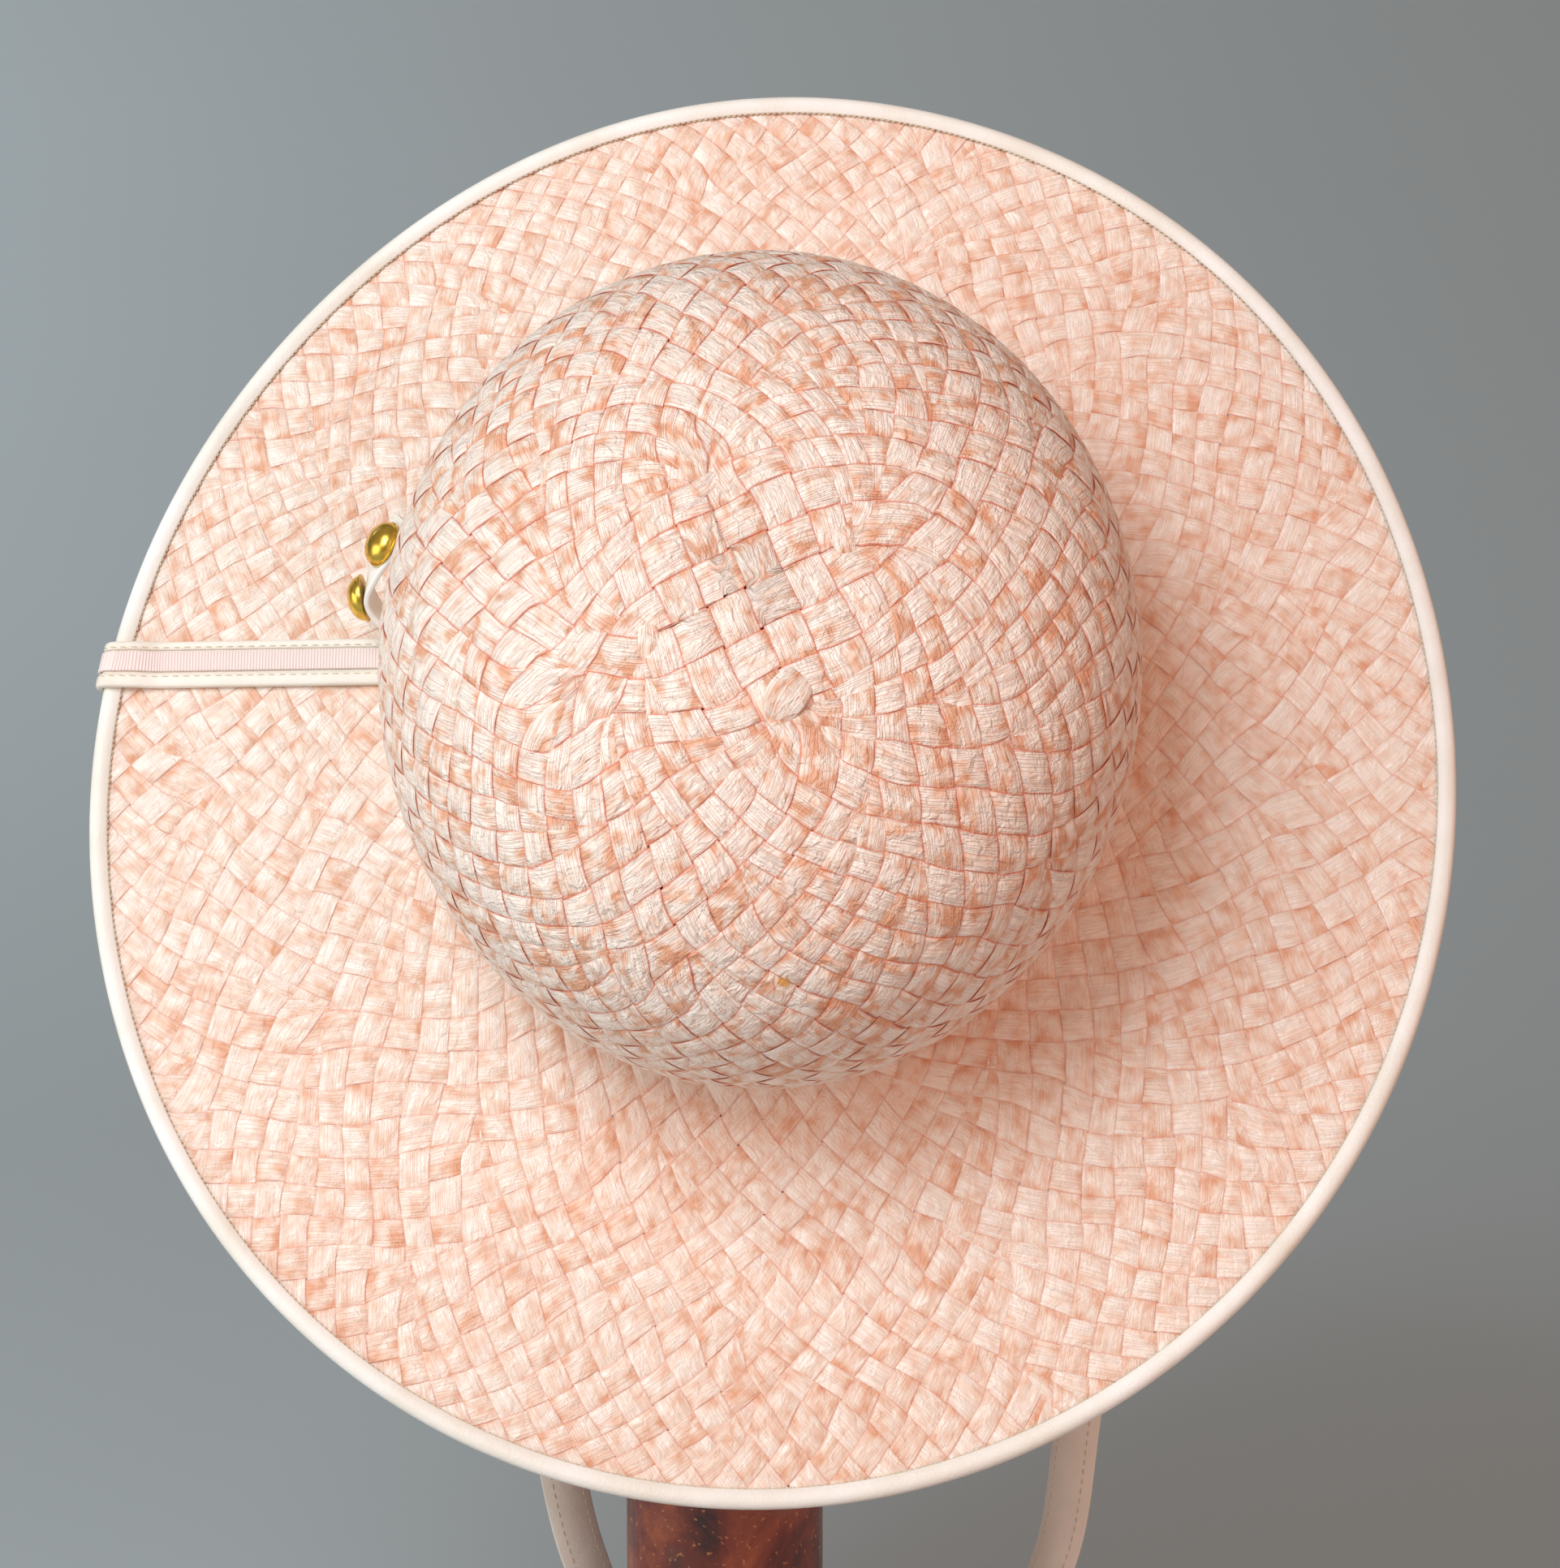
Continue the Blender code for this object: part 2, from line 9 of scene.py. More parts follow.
import bpy
import numpy as np
from bpy.props import FloatProperty, PointerProperty, StringProperty
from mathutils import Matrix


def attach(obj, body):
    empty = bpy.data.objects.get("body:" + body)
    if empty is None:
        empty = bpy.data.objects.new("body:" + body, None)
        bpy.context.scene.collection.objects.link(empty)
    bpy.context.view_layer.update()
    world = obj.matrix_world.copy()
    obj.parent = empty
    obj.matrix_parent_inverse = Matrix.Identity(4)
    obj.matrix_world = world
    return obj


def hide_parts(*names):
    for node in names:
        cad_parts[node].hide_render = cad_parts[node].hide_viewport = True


bl_info = {
    "name": "Woven Sun Hat",
    "version": (1, 0, 0),
    "blender": (4, 5, 0),
    "location": "View3D > Sidebar > Sun Hat",
    "description": "Weaves and finishes a straw sun hat on its post stand",
    "category": "Object",
}

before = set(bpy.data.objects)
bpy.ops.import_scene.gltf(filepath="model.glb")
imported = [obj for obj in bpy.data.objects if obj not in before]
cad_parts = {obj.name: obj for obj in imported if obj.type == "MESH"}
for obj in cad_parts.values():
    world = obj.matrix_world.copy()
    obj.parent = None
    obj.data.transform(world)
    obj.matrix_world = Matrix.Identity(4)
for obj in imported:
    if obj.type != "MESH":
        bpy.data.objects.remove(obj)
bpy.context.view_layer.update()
BODY = "root"

# Where the hat hangs, and the outlines that its pieces share with the solids
HAT_CENTRE = np.array([0.012, 0.0118, 0.325])
HAT_LIFT = math.radians(25.0)
HAT_TURN = math.radians(-2.75)
STRAW_WALL = 0.0015
GAP = 0.0003
CROWN_HALF_WIDTH = 0.0938
CROWN_HALF_LENGTH = 0.1042
CROWN_HEIGHT = 0.110
CROWN_WIDEST_HEIGHT = 0.045
HEAD_LINE_SHARE = 0.90
DOME_POWER = 2.55
EDGE_HALF_WIDTH = 0.1753
EDGE_HALF_LENGTH = 0.1878
EDGE_TURN = math.radians(-8.7)
FRONT_REACH = 0.0145
BRIM_WAVES = (
    # bends, height, crest
    (2, 0.0022, math.radians(70.0)),
    (5, 0.0012, math.radians(28.0)),
)
BINDING_REACH = 0.0025
BINDING_HALF_THICKNESS = 0.0020
BINDING_DEPTH = 0.0024
BINDING_LIP_DROP = 0.0004

# The plait's surface: its inset from the crown's outside, its rounding at the head line, where its plan
# starts beside the top, and how far it runs on past the edge
CROWN_INSET = STRAW_WALL * 0.45
FILLET = 0.0035
PLAN_START = 0.0004
PLAN_BEYOND = 0.012

# Plait: base strips of each family where it leaves the middle patch, and quarters of the patch. Levels
# count crossings of base strips out from the patch's middle, and cells count real crossings
BASE_STRIPS = 12
QUARTERS = 4
QUARTER_STRIPS = BASE_STRIPS // QUARTERS
SPIRAL_PACE = math.pi / BASE_STRIPS
LEVEL_STEP = 0.01
LEVEL_END = 17.0
PATCH_RUN_END = 8.0
PATCH_RUN_STEPS = 400
PATCH_PLACE_STEPS = 96
PATCH_LEVEL = 6.5
CORNER_CLEARANCE = 0.015
CROWN_CELL_STEPS = 7
BRIM_CELL_STEPS = 5
UNDER_BINDING = 0.25
HEAD_BLEND = 0.02

# New strips: when they start, how many cells they take to grow, and where the first pairs are let in
FIRST_BIRTH = 0.12
BIRTH_SPREAD = 0.25
LEAST_BIRTH = 0.4
BIRTH_START = 0.03
CORNER_GROWTH = 2.2
CROWN_GROWTH_CELLS = 4.0
BRIM_GROWTH_CELLS = 5.0
BRIM_WIDENING = -0.14
LEAST_GROWN = 0.04
GOLDEN_SHARE = 0.618034
BETWEEN_CORNERS = (0.125, 0.625, 0.375, 0.875)
FAMILY_SHIFTS = (0.0, 0.37)

# One strip: points over its top and foot as shares of its width, how much of its place it fills, how
# that and its line wander, and how its edges drop and thin out
TOP_SHARES = (-0.5, -0.44, -0.22, 0.0, 0.22, 0.44, 0.5)
FOOT_SHARES = (0.46, 0.0, -0.46)
STRIP_FILL = 0.975
FILL_WANDER = 0.03
FILL_PACE = 0.006
SIDE_WANDER = 0.035
SIDE_PACE = 0.005
WANDER_LENGTHS = (0.011, 0.019, 0.037)
EDGE_DROP = 0.28
EDGE_THINNING = 0.55
# Painted shade: how far the foot's dip value is lowered, so the strip's sides and underside take the deeper,
# orange painted tone
FOOT_PAINTED_SHADE = 1.5

# Painted sheen: how far the first family is made deeper in tone and the second lighter, standing in
# for the sheen that follows the strips' direction, and the cells over which a base strip takes it on
# from the patch's middle
FAMILY_PAINTED_SHEEN = 0.30
PAINTED_SHEEN_FADE_CELLS = 4.0
MIDDLE_TONE = 0.66
STRIP_PIECES = ("crown_straw_first", "crown_straw_second", "brim_straw_first", "brim_straw_second")

# Where strips fold over each other at the middle patch's corners, and a small stain, on the crown's plan
CORNER_FOLDS = (
    # corner, bearing from the corner's own in degrees, length, width, rise
    (0, 78.0, 0.0120, 0.0052, 0.00075),
    (1, 100.0, 0.0130, 0.0048, 0.00070),
    (2, 65.0, 0.0130, 0.0050, 0.00070),
    (3, 118.0, 0.0150, 0.0098, 0.00170),
    (3, 40.0, 0.0125, 0.0042, 0.00120),
)
FOLD_BOW = 0.0012
FOLD_DIVE = 0.0009
FOLD_END_WIDTH = 0.45
FOLD_HALF_THICKNESS = 0.0006
# Painted glow: the rim value at the folds' sides, which takes the orange painted glow
FOLD_PAINTED_GLOW_RIM = 0.97
FOLD_TONE = 0.45
STAIN_PLACE = 0.0087 - 0.0913j
STAIN_REACH = 0.0021
STAIN_SOFTNESS = 0.0020
STAIN_RAGGED = 0.004

# Straps
STRAP_UPPER_EDGE = 0.0024
STRAP_LOWER_EDGE = 0.0037
STRAP_CHANNEL = 0.0063
STRAP_WIDTH = STRAP_UPPER_EDGE + STRAP_CHANNEL + STRAP_LOWER_EDGE
STRAP_FLOOR = 0.0010
STRAP_EDGE_HEIGHT = 0.0019
STRAP_BACK_ROUNDING = 0.0003
ROLL_FULLNESS = 0.55
RIBBON_THICKNESS = 0.0010
RIBBON_GAP = 0.0005
BRIM_STRAP_HEIGHT = 0.0160
BRIM_STRAP_INNER = 0.0905
BRIM_STRAP_UNDER_END = 0.1010
BRIM_STRAP_LIFT = 0.0120
BRIM_STRAP_SHOULDER = 0.0012
BRIM_STRAP_ROUND_GAP = 0.0004
CHIN_STRAP_SEAT_X = 0.0920
CHIN_STRAP_SEAT_HEIGHTS = (0.022, 0.011, 0.000)
CHIN_STRAP_ROUTE = (
    # x, y, z, twist
    (-0.0885, 0.0036, -0.0220, 0),
    (-0.0780, 0.0042, -0.0800, 0),
    (-0.0675, 0.0060, -0.1400, 4),
    (-0.0575, 0.0085, -0.2000, 12),
    (-0.0507, 0.0115, -0.2320, 24),
    (-0.0380, 0.0168, -0.2620, 45),
    (-0.0160, 0.0218, -0.2850, 72),
    (0.0134, 0.0236, -0.2940, 90),
    (0.0430, 0.0215, -0.2850, 108),
    (0.0650, 0.0166, -0.2620, 135),
    (0.0775, 0.0115, -0.2320, 156),
    (0.0825, 0.0085, -0.1950, 168),
    (0.0860, 0.0045, -0.1400, 176),
    (0.0885, 0.0008, -0.0800, 180),
    (0.0905, -0.0030, -0.0220, 180),
)
TAB_WIDTH = 0.0120
TAB_THICKNESS = 0.0016
TAB_ROUTE = (
    # x, v, w, face x, face v, face w
    (-0.0884, 0.0208, 0.0105, -0.30, -0.80, -0.52),
    (-0.0938, 0.0222, 0.0118, -0.55, -0.60, -0.58),
    (-0.0990, 0.0252, 0.0145, -0.90, -0.30, -0.20),
    (-0.1015, 0.0290, 0.0185, -1.00, 0.05, 0.10),
    (-0.0990, 0.0345, 0.0245, -0.88, 0.20, 0.45),
    (-0.0945, 0.0395, 0.0290, -0.68, 0.30, 0.68),
    (-0.0908, 0.0440, 0.0308, -0.55, 0.35, 0.75),
)
STUDS = (
    # name, share of the tab's length
    ("stud_lower", 0.46),
    ("stud_upper", 0.80),
)
STUD_NECK = 0.0056
STUD_FLANGE = 0.0062
STUD_RADIUS = 0.0059
STUD_FOOT = 0.0006
STUD_RISE = 0.0040

# Stitches: where their rows lie across the straps and how deep they are drawn in
STITCH_ROWS = (-STRAP_WIDTH / 2 + STRAP_LOWER_EDGE - 0.0009, STRAP_WIDTH / 2 - STRAP_UPPER_EDGE + 0.0007)
STITCH_SINK = 0.00008
BACK_STITCH_HEIGHT = 0.00002
STITCH_RINGS = 6
BINDING_STITCH_GAP = 0.0001
BINDING_STITCH_PITCH = 0.55
BINDING_STITCH_LENGTH = 0.65

MM = 1000.0
RIB_PITCH = 0.8

# The studio: a floor that bends up behind, four square lights, and the colour of the light all round
FLOOR_REACH = 14.0
FLOOR_DROP = 0.0005
FLOOR_MOTTLE = 0.97
BACKDROP_START = 0.8
BACKDROP_RADIUS = 3.0
BACKDROP_TOP = 7.0
LIGHTS = (
    # name, place, target, size, setting with its watts, colour
    ("key light", (-0.505, -0.894, 1.104), HAT_CENTRE, 0.7, "key_power", "#F2F9FF"),
    ("side light", (-1.35, -0.6, 0.15), HAT_CENTRE, 1.2, "side_power", "#FFFDFA"),
    ("fill light", (1.1, -1.3, 0.45), HAT_CENTRE, 1.6, "fill_power", "#FFA070"),
    ("backdrop light", (-1.6, 1.2, 1.6), (-0.9, 3.2, 0.3), 1.0, "backdrop_power", "#EAF5FF"),
)
SKY_COLOUR = "#EBD9CB"


def hat_axes():
    """The hat's x, v and w directions in the part's frame, as the columns of a matrix."""
    turn, lift = HAT_TURN, HAT_LIFT
    w = np.array([math.sin(turn), -math.cos(lift) * math.cos(turn), math.sin(lift) * math.cos(turn)])
    x = np.array([1.0, 0.0, 0.0]) - w * w[0]
    x /= np.linalg.norm(x)
    return np.column_stack([x, np.cross(w, x), w])


AXES = hat_axes()


def to_world(points):
    """Points given in the hat's own x, v and w, in the part's frame."""
    return np.asarray(points, dtype=float) @ AXES.T + HAT_CENTRE


def normalised(vectors):
    """Vectors brought to a length of one."""
    return vectors / np.maximum(np.linalg.norm(vectors, axis=-1, keepdims=True), 1e-12)


def squared_to(vectors, tangents):
    """Vectors with what lies along the tangents taken out, brought to a length of one."""
    return normalised(vectors - (vectors * tangents).sum(axis=-1, keepdims=True) * tangents)


def way_along(points):
    """Distance along a row of points, from the first to each of them."""
    return np.append(0.0, np.cumsum(np.linalg.norm(np.diff(points, axis=0), axis=1)))


def oval(half_width, half_length, angle):
    """Distance from an oval's middle to its edge: the product of its half sizes over their mixed length."""
    return half_width * half_length / np.hypot(half_length * np.cos(angle), half_width * np.sin(angle))


def brim_edge(angle):
    """Distance to the bound edge: a turned oval, shifted towards the front."""
    return oval(EDGE_HALF_WIDTH, EDGE_HALF_LENGTH, angle - EDGE_TURN) - FRONT_REACH * np.sin(angle)


def head_line(angle):
    """Distance to the middle of the straw at the head line."""
    return oval(CROWN_HALF_WIDTH, CROWN_HALF_LENGTH, angle) * HEAD_LINE_SHARE - STRAW_WALL / 2


def brim_start(angle):
    """Distance at which the brim's solid starts, clear of the crown's leaning wall."""
    lean = (1.0 - HEAD_LINE_SHARE) * CROWN_HALF_LENGTH * math.pi / 2 / CROWN_WIDEST_HEIGHT
    head = oval(CROWN_HALF_WIDTH, CROWN_HALF_LENGTH, angle) * HEAD_LINE_SHARE
    return head + STRAW_WALL * lean + GAP


def brim_height(radius, angle):
    """Height of the brim's middle: cosine waves round it that grow with the square of the way out."""
    start = brim_start(angle)
    share = np.clip((radius - start) / (brim_edge(angle) - start), 0.0, 1.0)
    wave = sum(height * np.cos(bends * (angle - crest)) for bends, height, crest in BRIM_WAVES)
    return STRAW_WALL / 2 + wave * share ** 2


def wave_noise(along, seed):
    """A smooth wandering value within about one: sines of three lengths with shifts set by the seed."""
    shifts = np.modf(np.array([0.731, 0.377, 0.193]) * (seed + 1) * 7.77)[0] * math.tau
    return sum(np.sin(math.tau * along / length + shift)
               for length, shift in zip(WANDER_LENGTHS, shifts)) / len(WANDER_LENGTHS)


def steady_share(seed):
    """A fixed share between 0 and 1 for each whole number: what follows the point in a large sine of it."""
    return np.modf(np.abs(np.sin((np.asarray(seed, dtype=float) + 1.3) * 12.9898) * 43758.5453))[0]


# The woven surface: one meridian from the crown's top over the head line to the brim's edge

def meridian():
    """Table of the mean meridian: way along it, mean radius, crown share and height.

    The dome is a quarter superellipse and the wall a quarter sine down to the head line. The brim runs
    straight out from there to the straw's edge."""
    turn = np.linspace(math.pi / 2, 0.0, 240)
    dome_share = np.cos(turn) ** (2.0 / DOME_POWER)
    rise = np.sin(turn) ** (2.0 / DOME_POWER)
    dome_height = CROWN_WIDEST_HEIGHT + (CROWN_HEIGHT - CROWN_WIDEST_HEIGHT) * rise
    climb = np.linspace(1.0, 0.0, 60)[1:]
    wall_share = HEAD_LINE_SHARE + (1.0 - HEAD_LINE_SHARE) * np.sin(climb * math.pi / 2)
    share = np.append(dome_share, wall_share)
    height = np.append(dome_height, climb * CROWN_WIDEST_HEIGHT)
    radius = share * math.sqrt(CROWN_HALF_WIDTH * CROWN_HALF_LENGTH)
    radius[0] = 0.0
    out = np.linspace(0.0, 1.0, 120)[1:]
    mean_edge = math.sqrt(EDGE_HALF_WIDTH * EDGE_HALF_LENGTH) - BINDING_REACH
    brim_radius = radius[-1] + (mean_edge - radius[-1]) * out
    way = np.append(0.0, np.cumsum(np.hypot(np.diff(radius), np.diff(height))))
    brim_way = way[-1] + brim_radius - radius[-1]
    return {
        "way": np.append(way, brim_way),
        "radius": np.append(radius, brim_radius),
        "share": np.append(share, np.full(len(out), share[-1])),
        "height": np.append(height, np.zeros(len(out))),
        "head": way[-1],
        "edge": brim_way[-1],
    }


MERIDIAN = meridian()


def plan_reach():
    """Table that flattens the meridian: the plan's radius grows so that angles stay true.

    Its logarithm is the sum of each bit of way over the radius there, and near the top it is the way."""
    way = np.linspace(PLAN_START, MERIDIAN["edge"] + PLAN_BEYOND, 3000)
    radius = np.interp(way, MERIDIAN["way"], MERIDIAN["radius"])
    radius += np.maximum(way - MERIDIAN["edge"], 0.0)
    slope = 1.0 / radius
    logs = math.log(way[0]) + np.append(0.0, np.cumsum((slope[1:] + slope[:-1]) / 2 * np.diff(way)))
    return way, np.exp(logs)


PLAN_WAY, PLAN_RADIUS = plan_reach()


def brim_share(way):
    """Share of the way from the head line to the straw's edge, from 0 to 1."""
    return np.clip((way - MERIDIAN["head"]) / (MERIDIAN["edge"] - MERIDIAN["head"]), 0.0, 1.0)


def woven_surface(plan):
    """Points of the straw's middle for complex plan points, in the hat's frame.

    The crown is its share times an oval, inset by a part of its wall: downwards on the top and inwards
    at the sides. The brim runs from the head line to the edge at one polar angle. A quadratic curve
    rounds the corner between them."""
    reach = np.abs(plan)
    way = np.where(reach < PLAN_RADIUS[0], reach, np.interp(reach, PLAN_RADIUS, PLAN_WAY))
    turn = np.angle(plan)
    cos, sin = np.cos(turn), np.sin(turn)
    flat = np.minimum(way, MERIDIAN["head"] - FILLET)
    share, height, side = (np.interp(flat, MERIDIAN["way"], MERIDIAN[key])
                           for key in ("share", "height", "radius"))
    lower = np.clip((side / CROWN_HALF_LENGTH - 0.3) / 0.6, 0.0, 1.0)
    crown = np.stack([(share * CROWN_HALF_WIDTH - CROWN_INSET * lower) * cos,
                      (share * CROWN_HALF_LENGTH - CROWN_INSET * lower) * sin,
                      height - CROWN_INSET * (1.0 - lower)], axis=-1)
    angle = np.arctan2(CROWN_HALF_LENGTH * sin, CROWN_HALF_WIDTH * cos)
    out = brim_share(np.maximum(way, MERIDIAN["head"] + FILLET))
    head = head_line(angle)
    radius = head + (brim_edge(angle) - BINDING_REACH + GAP - head) * out
    brim = np.stack([radius * np.cos(angle), radius * np.sin(angle), brim_height(radius, angle)], axis=-1)
    corner = np.stack([head * np.cos(angle), head * np.sin(angle), np.full_like(head, STRAW_WALL / 2)],
                      axis=-1)
    blend = np.clip((way - MERIDIAN["head"] + FILLET) / (2 * FILLET), 0.0, 1.0)[..., None]
    return (1 - blend) ** 2 * crown + 2 * blend * (1 - blend) * corner + blend ** 2 * brim


def surface_normals(plan, points):
    """Outward directions of the straw, from two small steps across the plan."""
    step = 0.002 * np.abs(plan) + 1e-5
    right = woven_surface(plan + step) - points
    up = woven_surface(plan + 1j * step) - points
    return normalised(np.cross(right, up))


# The plait: strips of two families that cross everywhere, laid from one middle patch with four corners

def patch_table(corner_reach):
    """Plan points of the strips of the middle patch, by place across a quarter and run along a strip.

    The patch is a square net whose four corners sit at corner_reach. The net's step at a point is the
    fourth root of the product of its distances to the corners, and its direction is a quarter of the
    sum of their bearings, so strips narrow at the corners and turn by a right angle round each."""
    corners = corner_reach * np.exp(0.5j * math.pi * np.arange(QUARTERS))
    strip = 4.0 / (math.pi * math.sqrt(2.0))
    width = corner_reach / (QUARTER_STRIPS * strip)
    fine = np.linspace(0.0, 1.0, 4001)[:-1]
    pace = 1.0 / (1.0 - fine ** 4) ** 0.25
    counted = np.append(0.0, np.cumsum(pace)[:-1]) / pace.sum() * QUARTER_STRIPS
    places = np.linspace(CORNER_CLEARANCE, QUARTER_STRIPS - CORNER_CLEARANCE, PATCH_PLACE_STEPS)
    points = corner_reach * np.interp(places, counted, fine) + 0j

    def heading(z):
        gaps = z[:, None] - corners[None, :]
        bearings = np.angle(gaps)
        bearings[:, 0] = np.where(bearings[:, 0] > math.pi / 2, bearings[:, 0] - math.tau, bearings[:, 0])
        size = np.prod(np.abs(gaps), axis=1) ** 0.25 / corner_reach * width
        return size * np.exp(1j * (bearings.sum(axis=1) / 4 - math.pi / 4))

    step = PATCH_RUN_END / PATCH_RUN_STEPS
    rows = [points]
    for _ in range(PATCH_RUN_STEPS):
        first = heading(points)
        second = heading(points + step / 2 * first)
        third = heading(points + step / 2 * second)
        last = heading(points + step * third)
        points = points + step / 6 * (first + 2 * second + 2 * third + last)
        rows.append(points)
    table = np.array(rows).T
    level = places + PATCH_RUN_END
    reach = np.log(np.abs(table[:, -1]) / corner_reach) - SPIRAL_PACE * (level - QUARTER_STRIPS)
    return {"places": places, "points": table, "corner": corner_reach, "far": reach.mean()}


def plan_point(patch, place, run):
    """Plan points at a place among the base strips and a run along them, in the patch's own turn.

    Near the patch they are read from its table. Beyond it the net is a set of spirals at 45 degrees."""
    quarter = np.floor(place / QUARTER_STRIPS)
    inner = place - QUARTER_STRIPS * quarter
    along = run + QUARTER_STRIPS * quarter - QUARTER_STRIPS
    level = inner + along
    spread = (inner - patch["places"][0]) / (patch["places"][1] - patch["places"][0])
    spread = np.clip(spread, 0.0, PATCH_PLACE_STEPS - 1.001)
    reach = np.clip(along / PATCH_RUN_END * PATCH_RUN_STEPS, 0.0, PATCH_RUN_STEPS - 0.001)
    i, j = spread.astype(int), reach.astype(int)
    fi, fj = spread - i, reach - j
    table = patch["points"]
    near = (table[i, j] * (1 - fi) * (1 - fj) + table[i + 1, j] * fi * (1 - fj)
            + table[i, j + 1] * (1 - fi) * fj + table[i + 1, j + 1] * fi * fj)
    logs = SPIRAL_PACE * (level - QUARTER_STRIPS) + patch["far"]
    far = patch["corner"] * np.exp(logs - 1j * SPIRAL_PACE * (along - inner + QUARTER_STRIPS))
    mix = np.clip((level - PATCH_LEVEL + 1.0), 0.0, 1.0)
    turned = np.exp(0.5j * math.pi * quarter)
    return (near * (1 - mix) + far * mix) * turned


LEVELS = np.arange(0.0, LEVEL_END, LEVEL_STEP)


def level_radius(patch):
    """Mean radius and way of the hat at each level of the plait."""
    reach = patch["corner"] * np.exp(SPIRAL_PACE * (LEVELS - QUARTER_STRIPS) + patch["far"])
    way = np.interp(reach, PLAN_RADIUS, PLAN_WAY)
    return np.interp(way, MERIDIAN["way"], MERIDIAN["radius"]), way


def strip_family(patch, strip_width, shift):
    """One family of strips: the left edge and width of each, in base strips, at every level.

    Strips join in pairs where the ring has grown by two widths, the first at the four corners, the
    next between them, and the rest spread by the golden ratio. Each grows to a full width over a few
    crossings. All share the ring, which is turned level by level so that the strips drift neither way
    on the whole."""
    radius, way = level_radius(patch)
    on_brim = brim_share(way)
    widened = math.sqrt(2.0) * strip_width * (1.0 + BRIM_WIDENING * on_brim)
    wanted = np.maximum.accumulate(math.tau * radius / widened)
    births, growths = [0.0] * BASE_STRIPS, [1.0] * BASE_STRIPS
    count = BASE_STRIPS
    while count + 1 < wanted[-1]:
        pair = (count - BASE_STRIPS) // 2
        if pair < QUARTERS:
            growth = CORNER_GROWTH
            birth = QUARTER_STRIPS + FIRST_BIRTH + BIRTH_SPREAD * steady_share(pair + shift)
            slot = pair * (QUARTER_STRIPS + 2)
        else:
            row = np.searchsorted(wanted, count + 1.0)
            cells = BRIM_GROWTH_CELLS if on_brim[row] > 0.0 else CROWN_GROWTH_CELLS
            growth = cells * BASE_STRIPS / count
            birth = max(LEVELS[row] - growth / 2, QUARTER_STRIPS + LEAST_BIRTH)
            share = (pair * GOLDEN_SHARE + shift) % 1.0
            if pair < 2 * QUARTERS:
                share = BETWEEN_CORNERS[pair - QUARTERS]
            slot = round(count * share)
        births[slot:slot] = [birth, birth]
        growths[slot:slot] = [growth, growth]
        count += 2
    births = np.array(births)
    rise = np.clip((LEVELS[:, None] - births) / np.array(growths), 0.0, 1.0)
    grown = np.where(births == 0.0, 1.0, 0.5 * rise + 0.5 * rise * rise * (3 - 2 * rise))
    total = grown.sum(axis=1, keepdims=True)
    width = grown * BASE_STRIPS / total
    left = np.cumsum(width, axis=1) - width
    drift = (np.diff(left + width / 2, axis=0) * width[1:]).sum(axis=1) / BASE_STRIPS
    left -= np.append(0.0, np.cumsum(drift))[:, None]
    return {"births": births, "left": left, "width": width, "grown": grown, "total": total[:, 0]}


def at_level(table, level):
    """Rows of a table read at levels between its own, straight between neighbours."""
    place = np.clip(level / LEVEL_STEP, 0.0, len(LEVELS) - 1.001)
    row = place.astype(int)
    rest = (place - row).reshape(-1, *([1] * (table.ndim - 1)))
    return table[row] * (1 - rest) + table[row + 1] * rest


def crossing_wave(other, level, run):
    """How high a strip rides there, from -1 under to 1 over, and the number of the strip it crosses.

    The place in the other family counts whole strips passed, and the ride is a flattened cosine of it."""
    flat_level = level.ravel()
    left, width = at_level(other["left"], flat_level), at_level(other["width"], flat_level)
    place = np.mod(run.ravel() - left[:, 0], BASE_STRIPS) + left[:, 0]
    passed = np.clip((place[:, None] - left) / np.maximum(width, 1e-7), 0.0, 1.0)
    index = passed.sum(axis=1)
    current = np.clip(index.astype(int), 0, len(other["births"]) - 1)
    grown = at_level(other["grown"], flat_level)[np.arange(len(current)), current]
    wave = np.cos(math.pi * (index - 0.5))
    wave = wave * (1.5 - 0.5 * wave * wave) * np.clip(1.4 * grown, 0.0, 1.0)
    return wave.reshape(level.shape), current.reshape(level.shape)


def strip_rows(patch, own, other, strip, start, end, cell_steps):
    """Plan points, ride, cell tone and growth of one strip on a grid of sections, between two levels.

    A section lies at one run, so it is square to the strip. Its level is found by repeated steps,
    since the strip's place depends on the level. A strip that is still growing reaches under its
    neighbours by the root of its share."""
    cells = np.append(0.0, np.cumsum(other["total"][:-1] / BASE_STRIPS * LEVEL_STEP))
    first, last = np.interp([start, end], LEVELS, cells)
    steps = max(int((last - first) * cell_steps), 3)
    middle_level = np.interp(np.linspace(first, last, steps + 1), cells, LEVELS)
    centre = own["left"][:, strip] + own["width"][:, strip] / 2
    reach = own["width"][:, strip] / np.sqrt(np.maximum(own["grown"][:, strip], LEAST_GROWN))

    def place_at(level, share):
        return np.interp(level, LEVELS, centre) + share * np.interp(level, LEVELS, reach)

    run = middle_level + QUARTER_STRIPS - place_at(middle_level, 0.0)
    share = np.array(TOP_SHARES)[None, :]
    seed = strip * 3.1 + 11.7 * own["births"].sum()
    slack = STRIP_FILL + FILL_WANDER * wave_noise(run[:, None] * FILL_PACE, seed)
    wander = SIDE_WANDER * wave_noise(run[:, None] * SIDE_PACE, seed + 5)
    share = share * slack + wander
    level = np.broadcast_to(middle_level[:, None], share.shape)
    for _ in range(9):
        level = place_at(level, share) + run[:, None] - QUARTER_STRIPS
    place = place_at(level, share)
    grown = np.interp(level, LEVELS, own["grown"][:, strip])
    wave, crossed = crossing_wave(other, level, np.broadcast_to(run[:, None], level.shape))
    parity = 1.0 if strip % 2 == 0 else -1.0
    plan = plan_point(patch, place, np.broadcast_to(run[:, None], place.shape))
    return plan, wave * parity * np.clip(1.3 * grown, 0.2, 1.0), steady_share(crossed + 17.0 * strip), grown


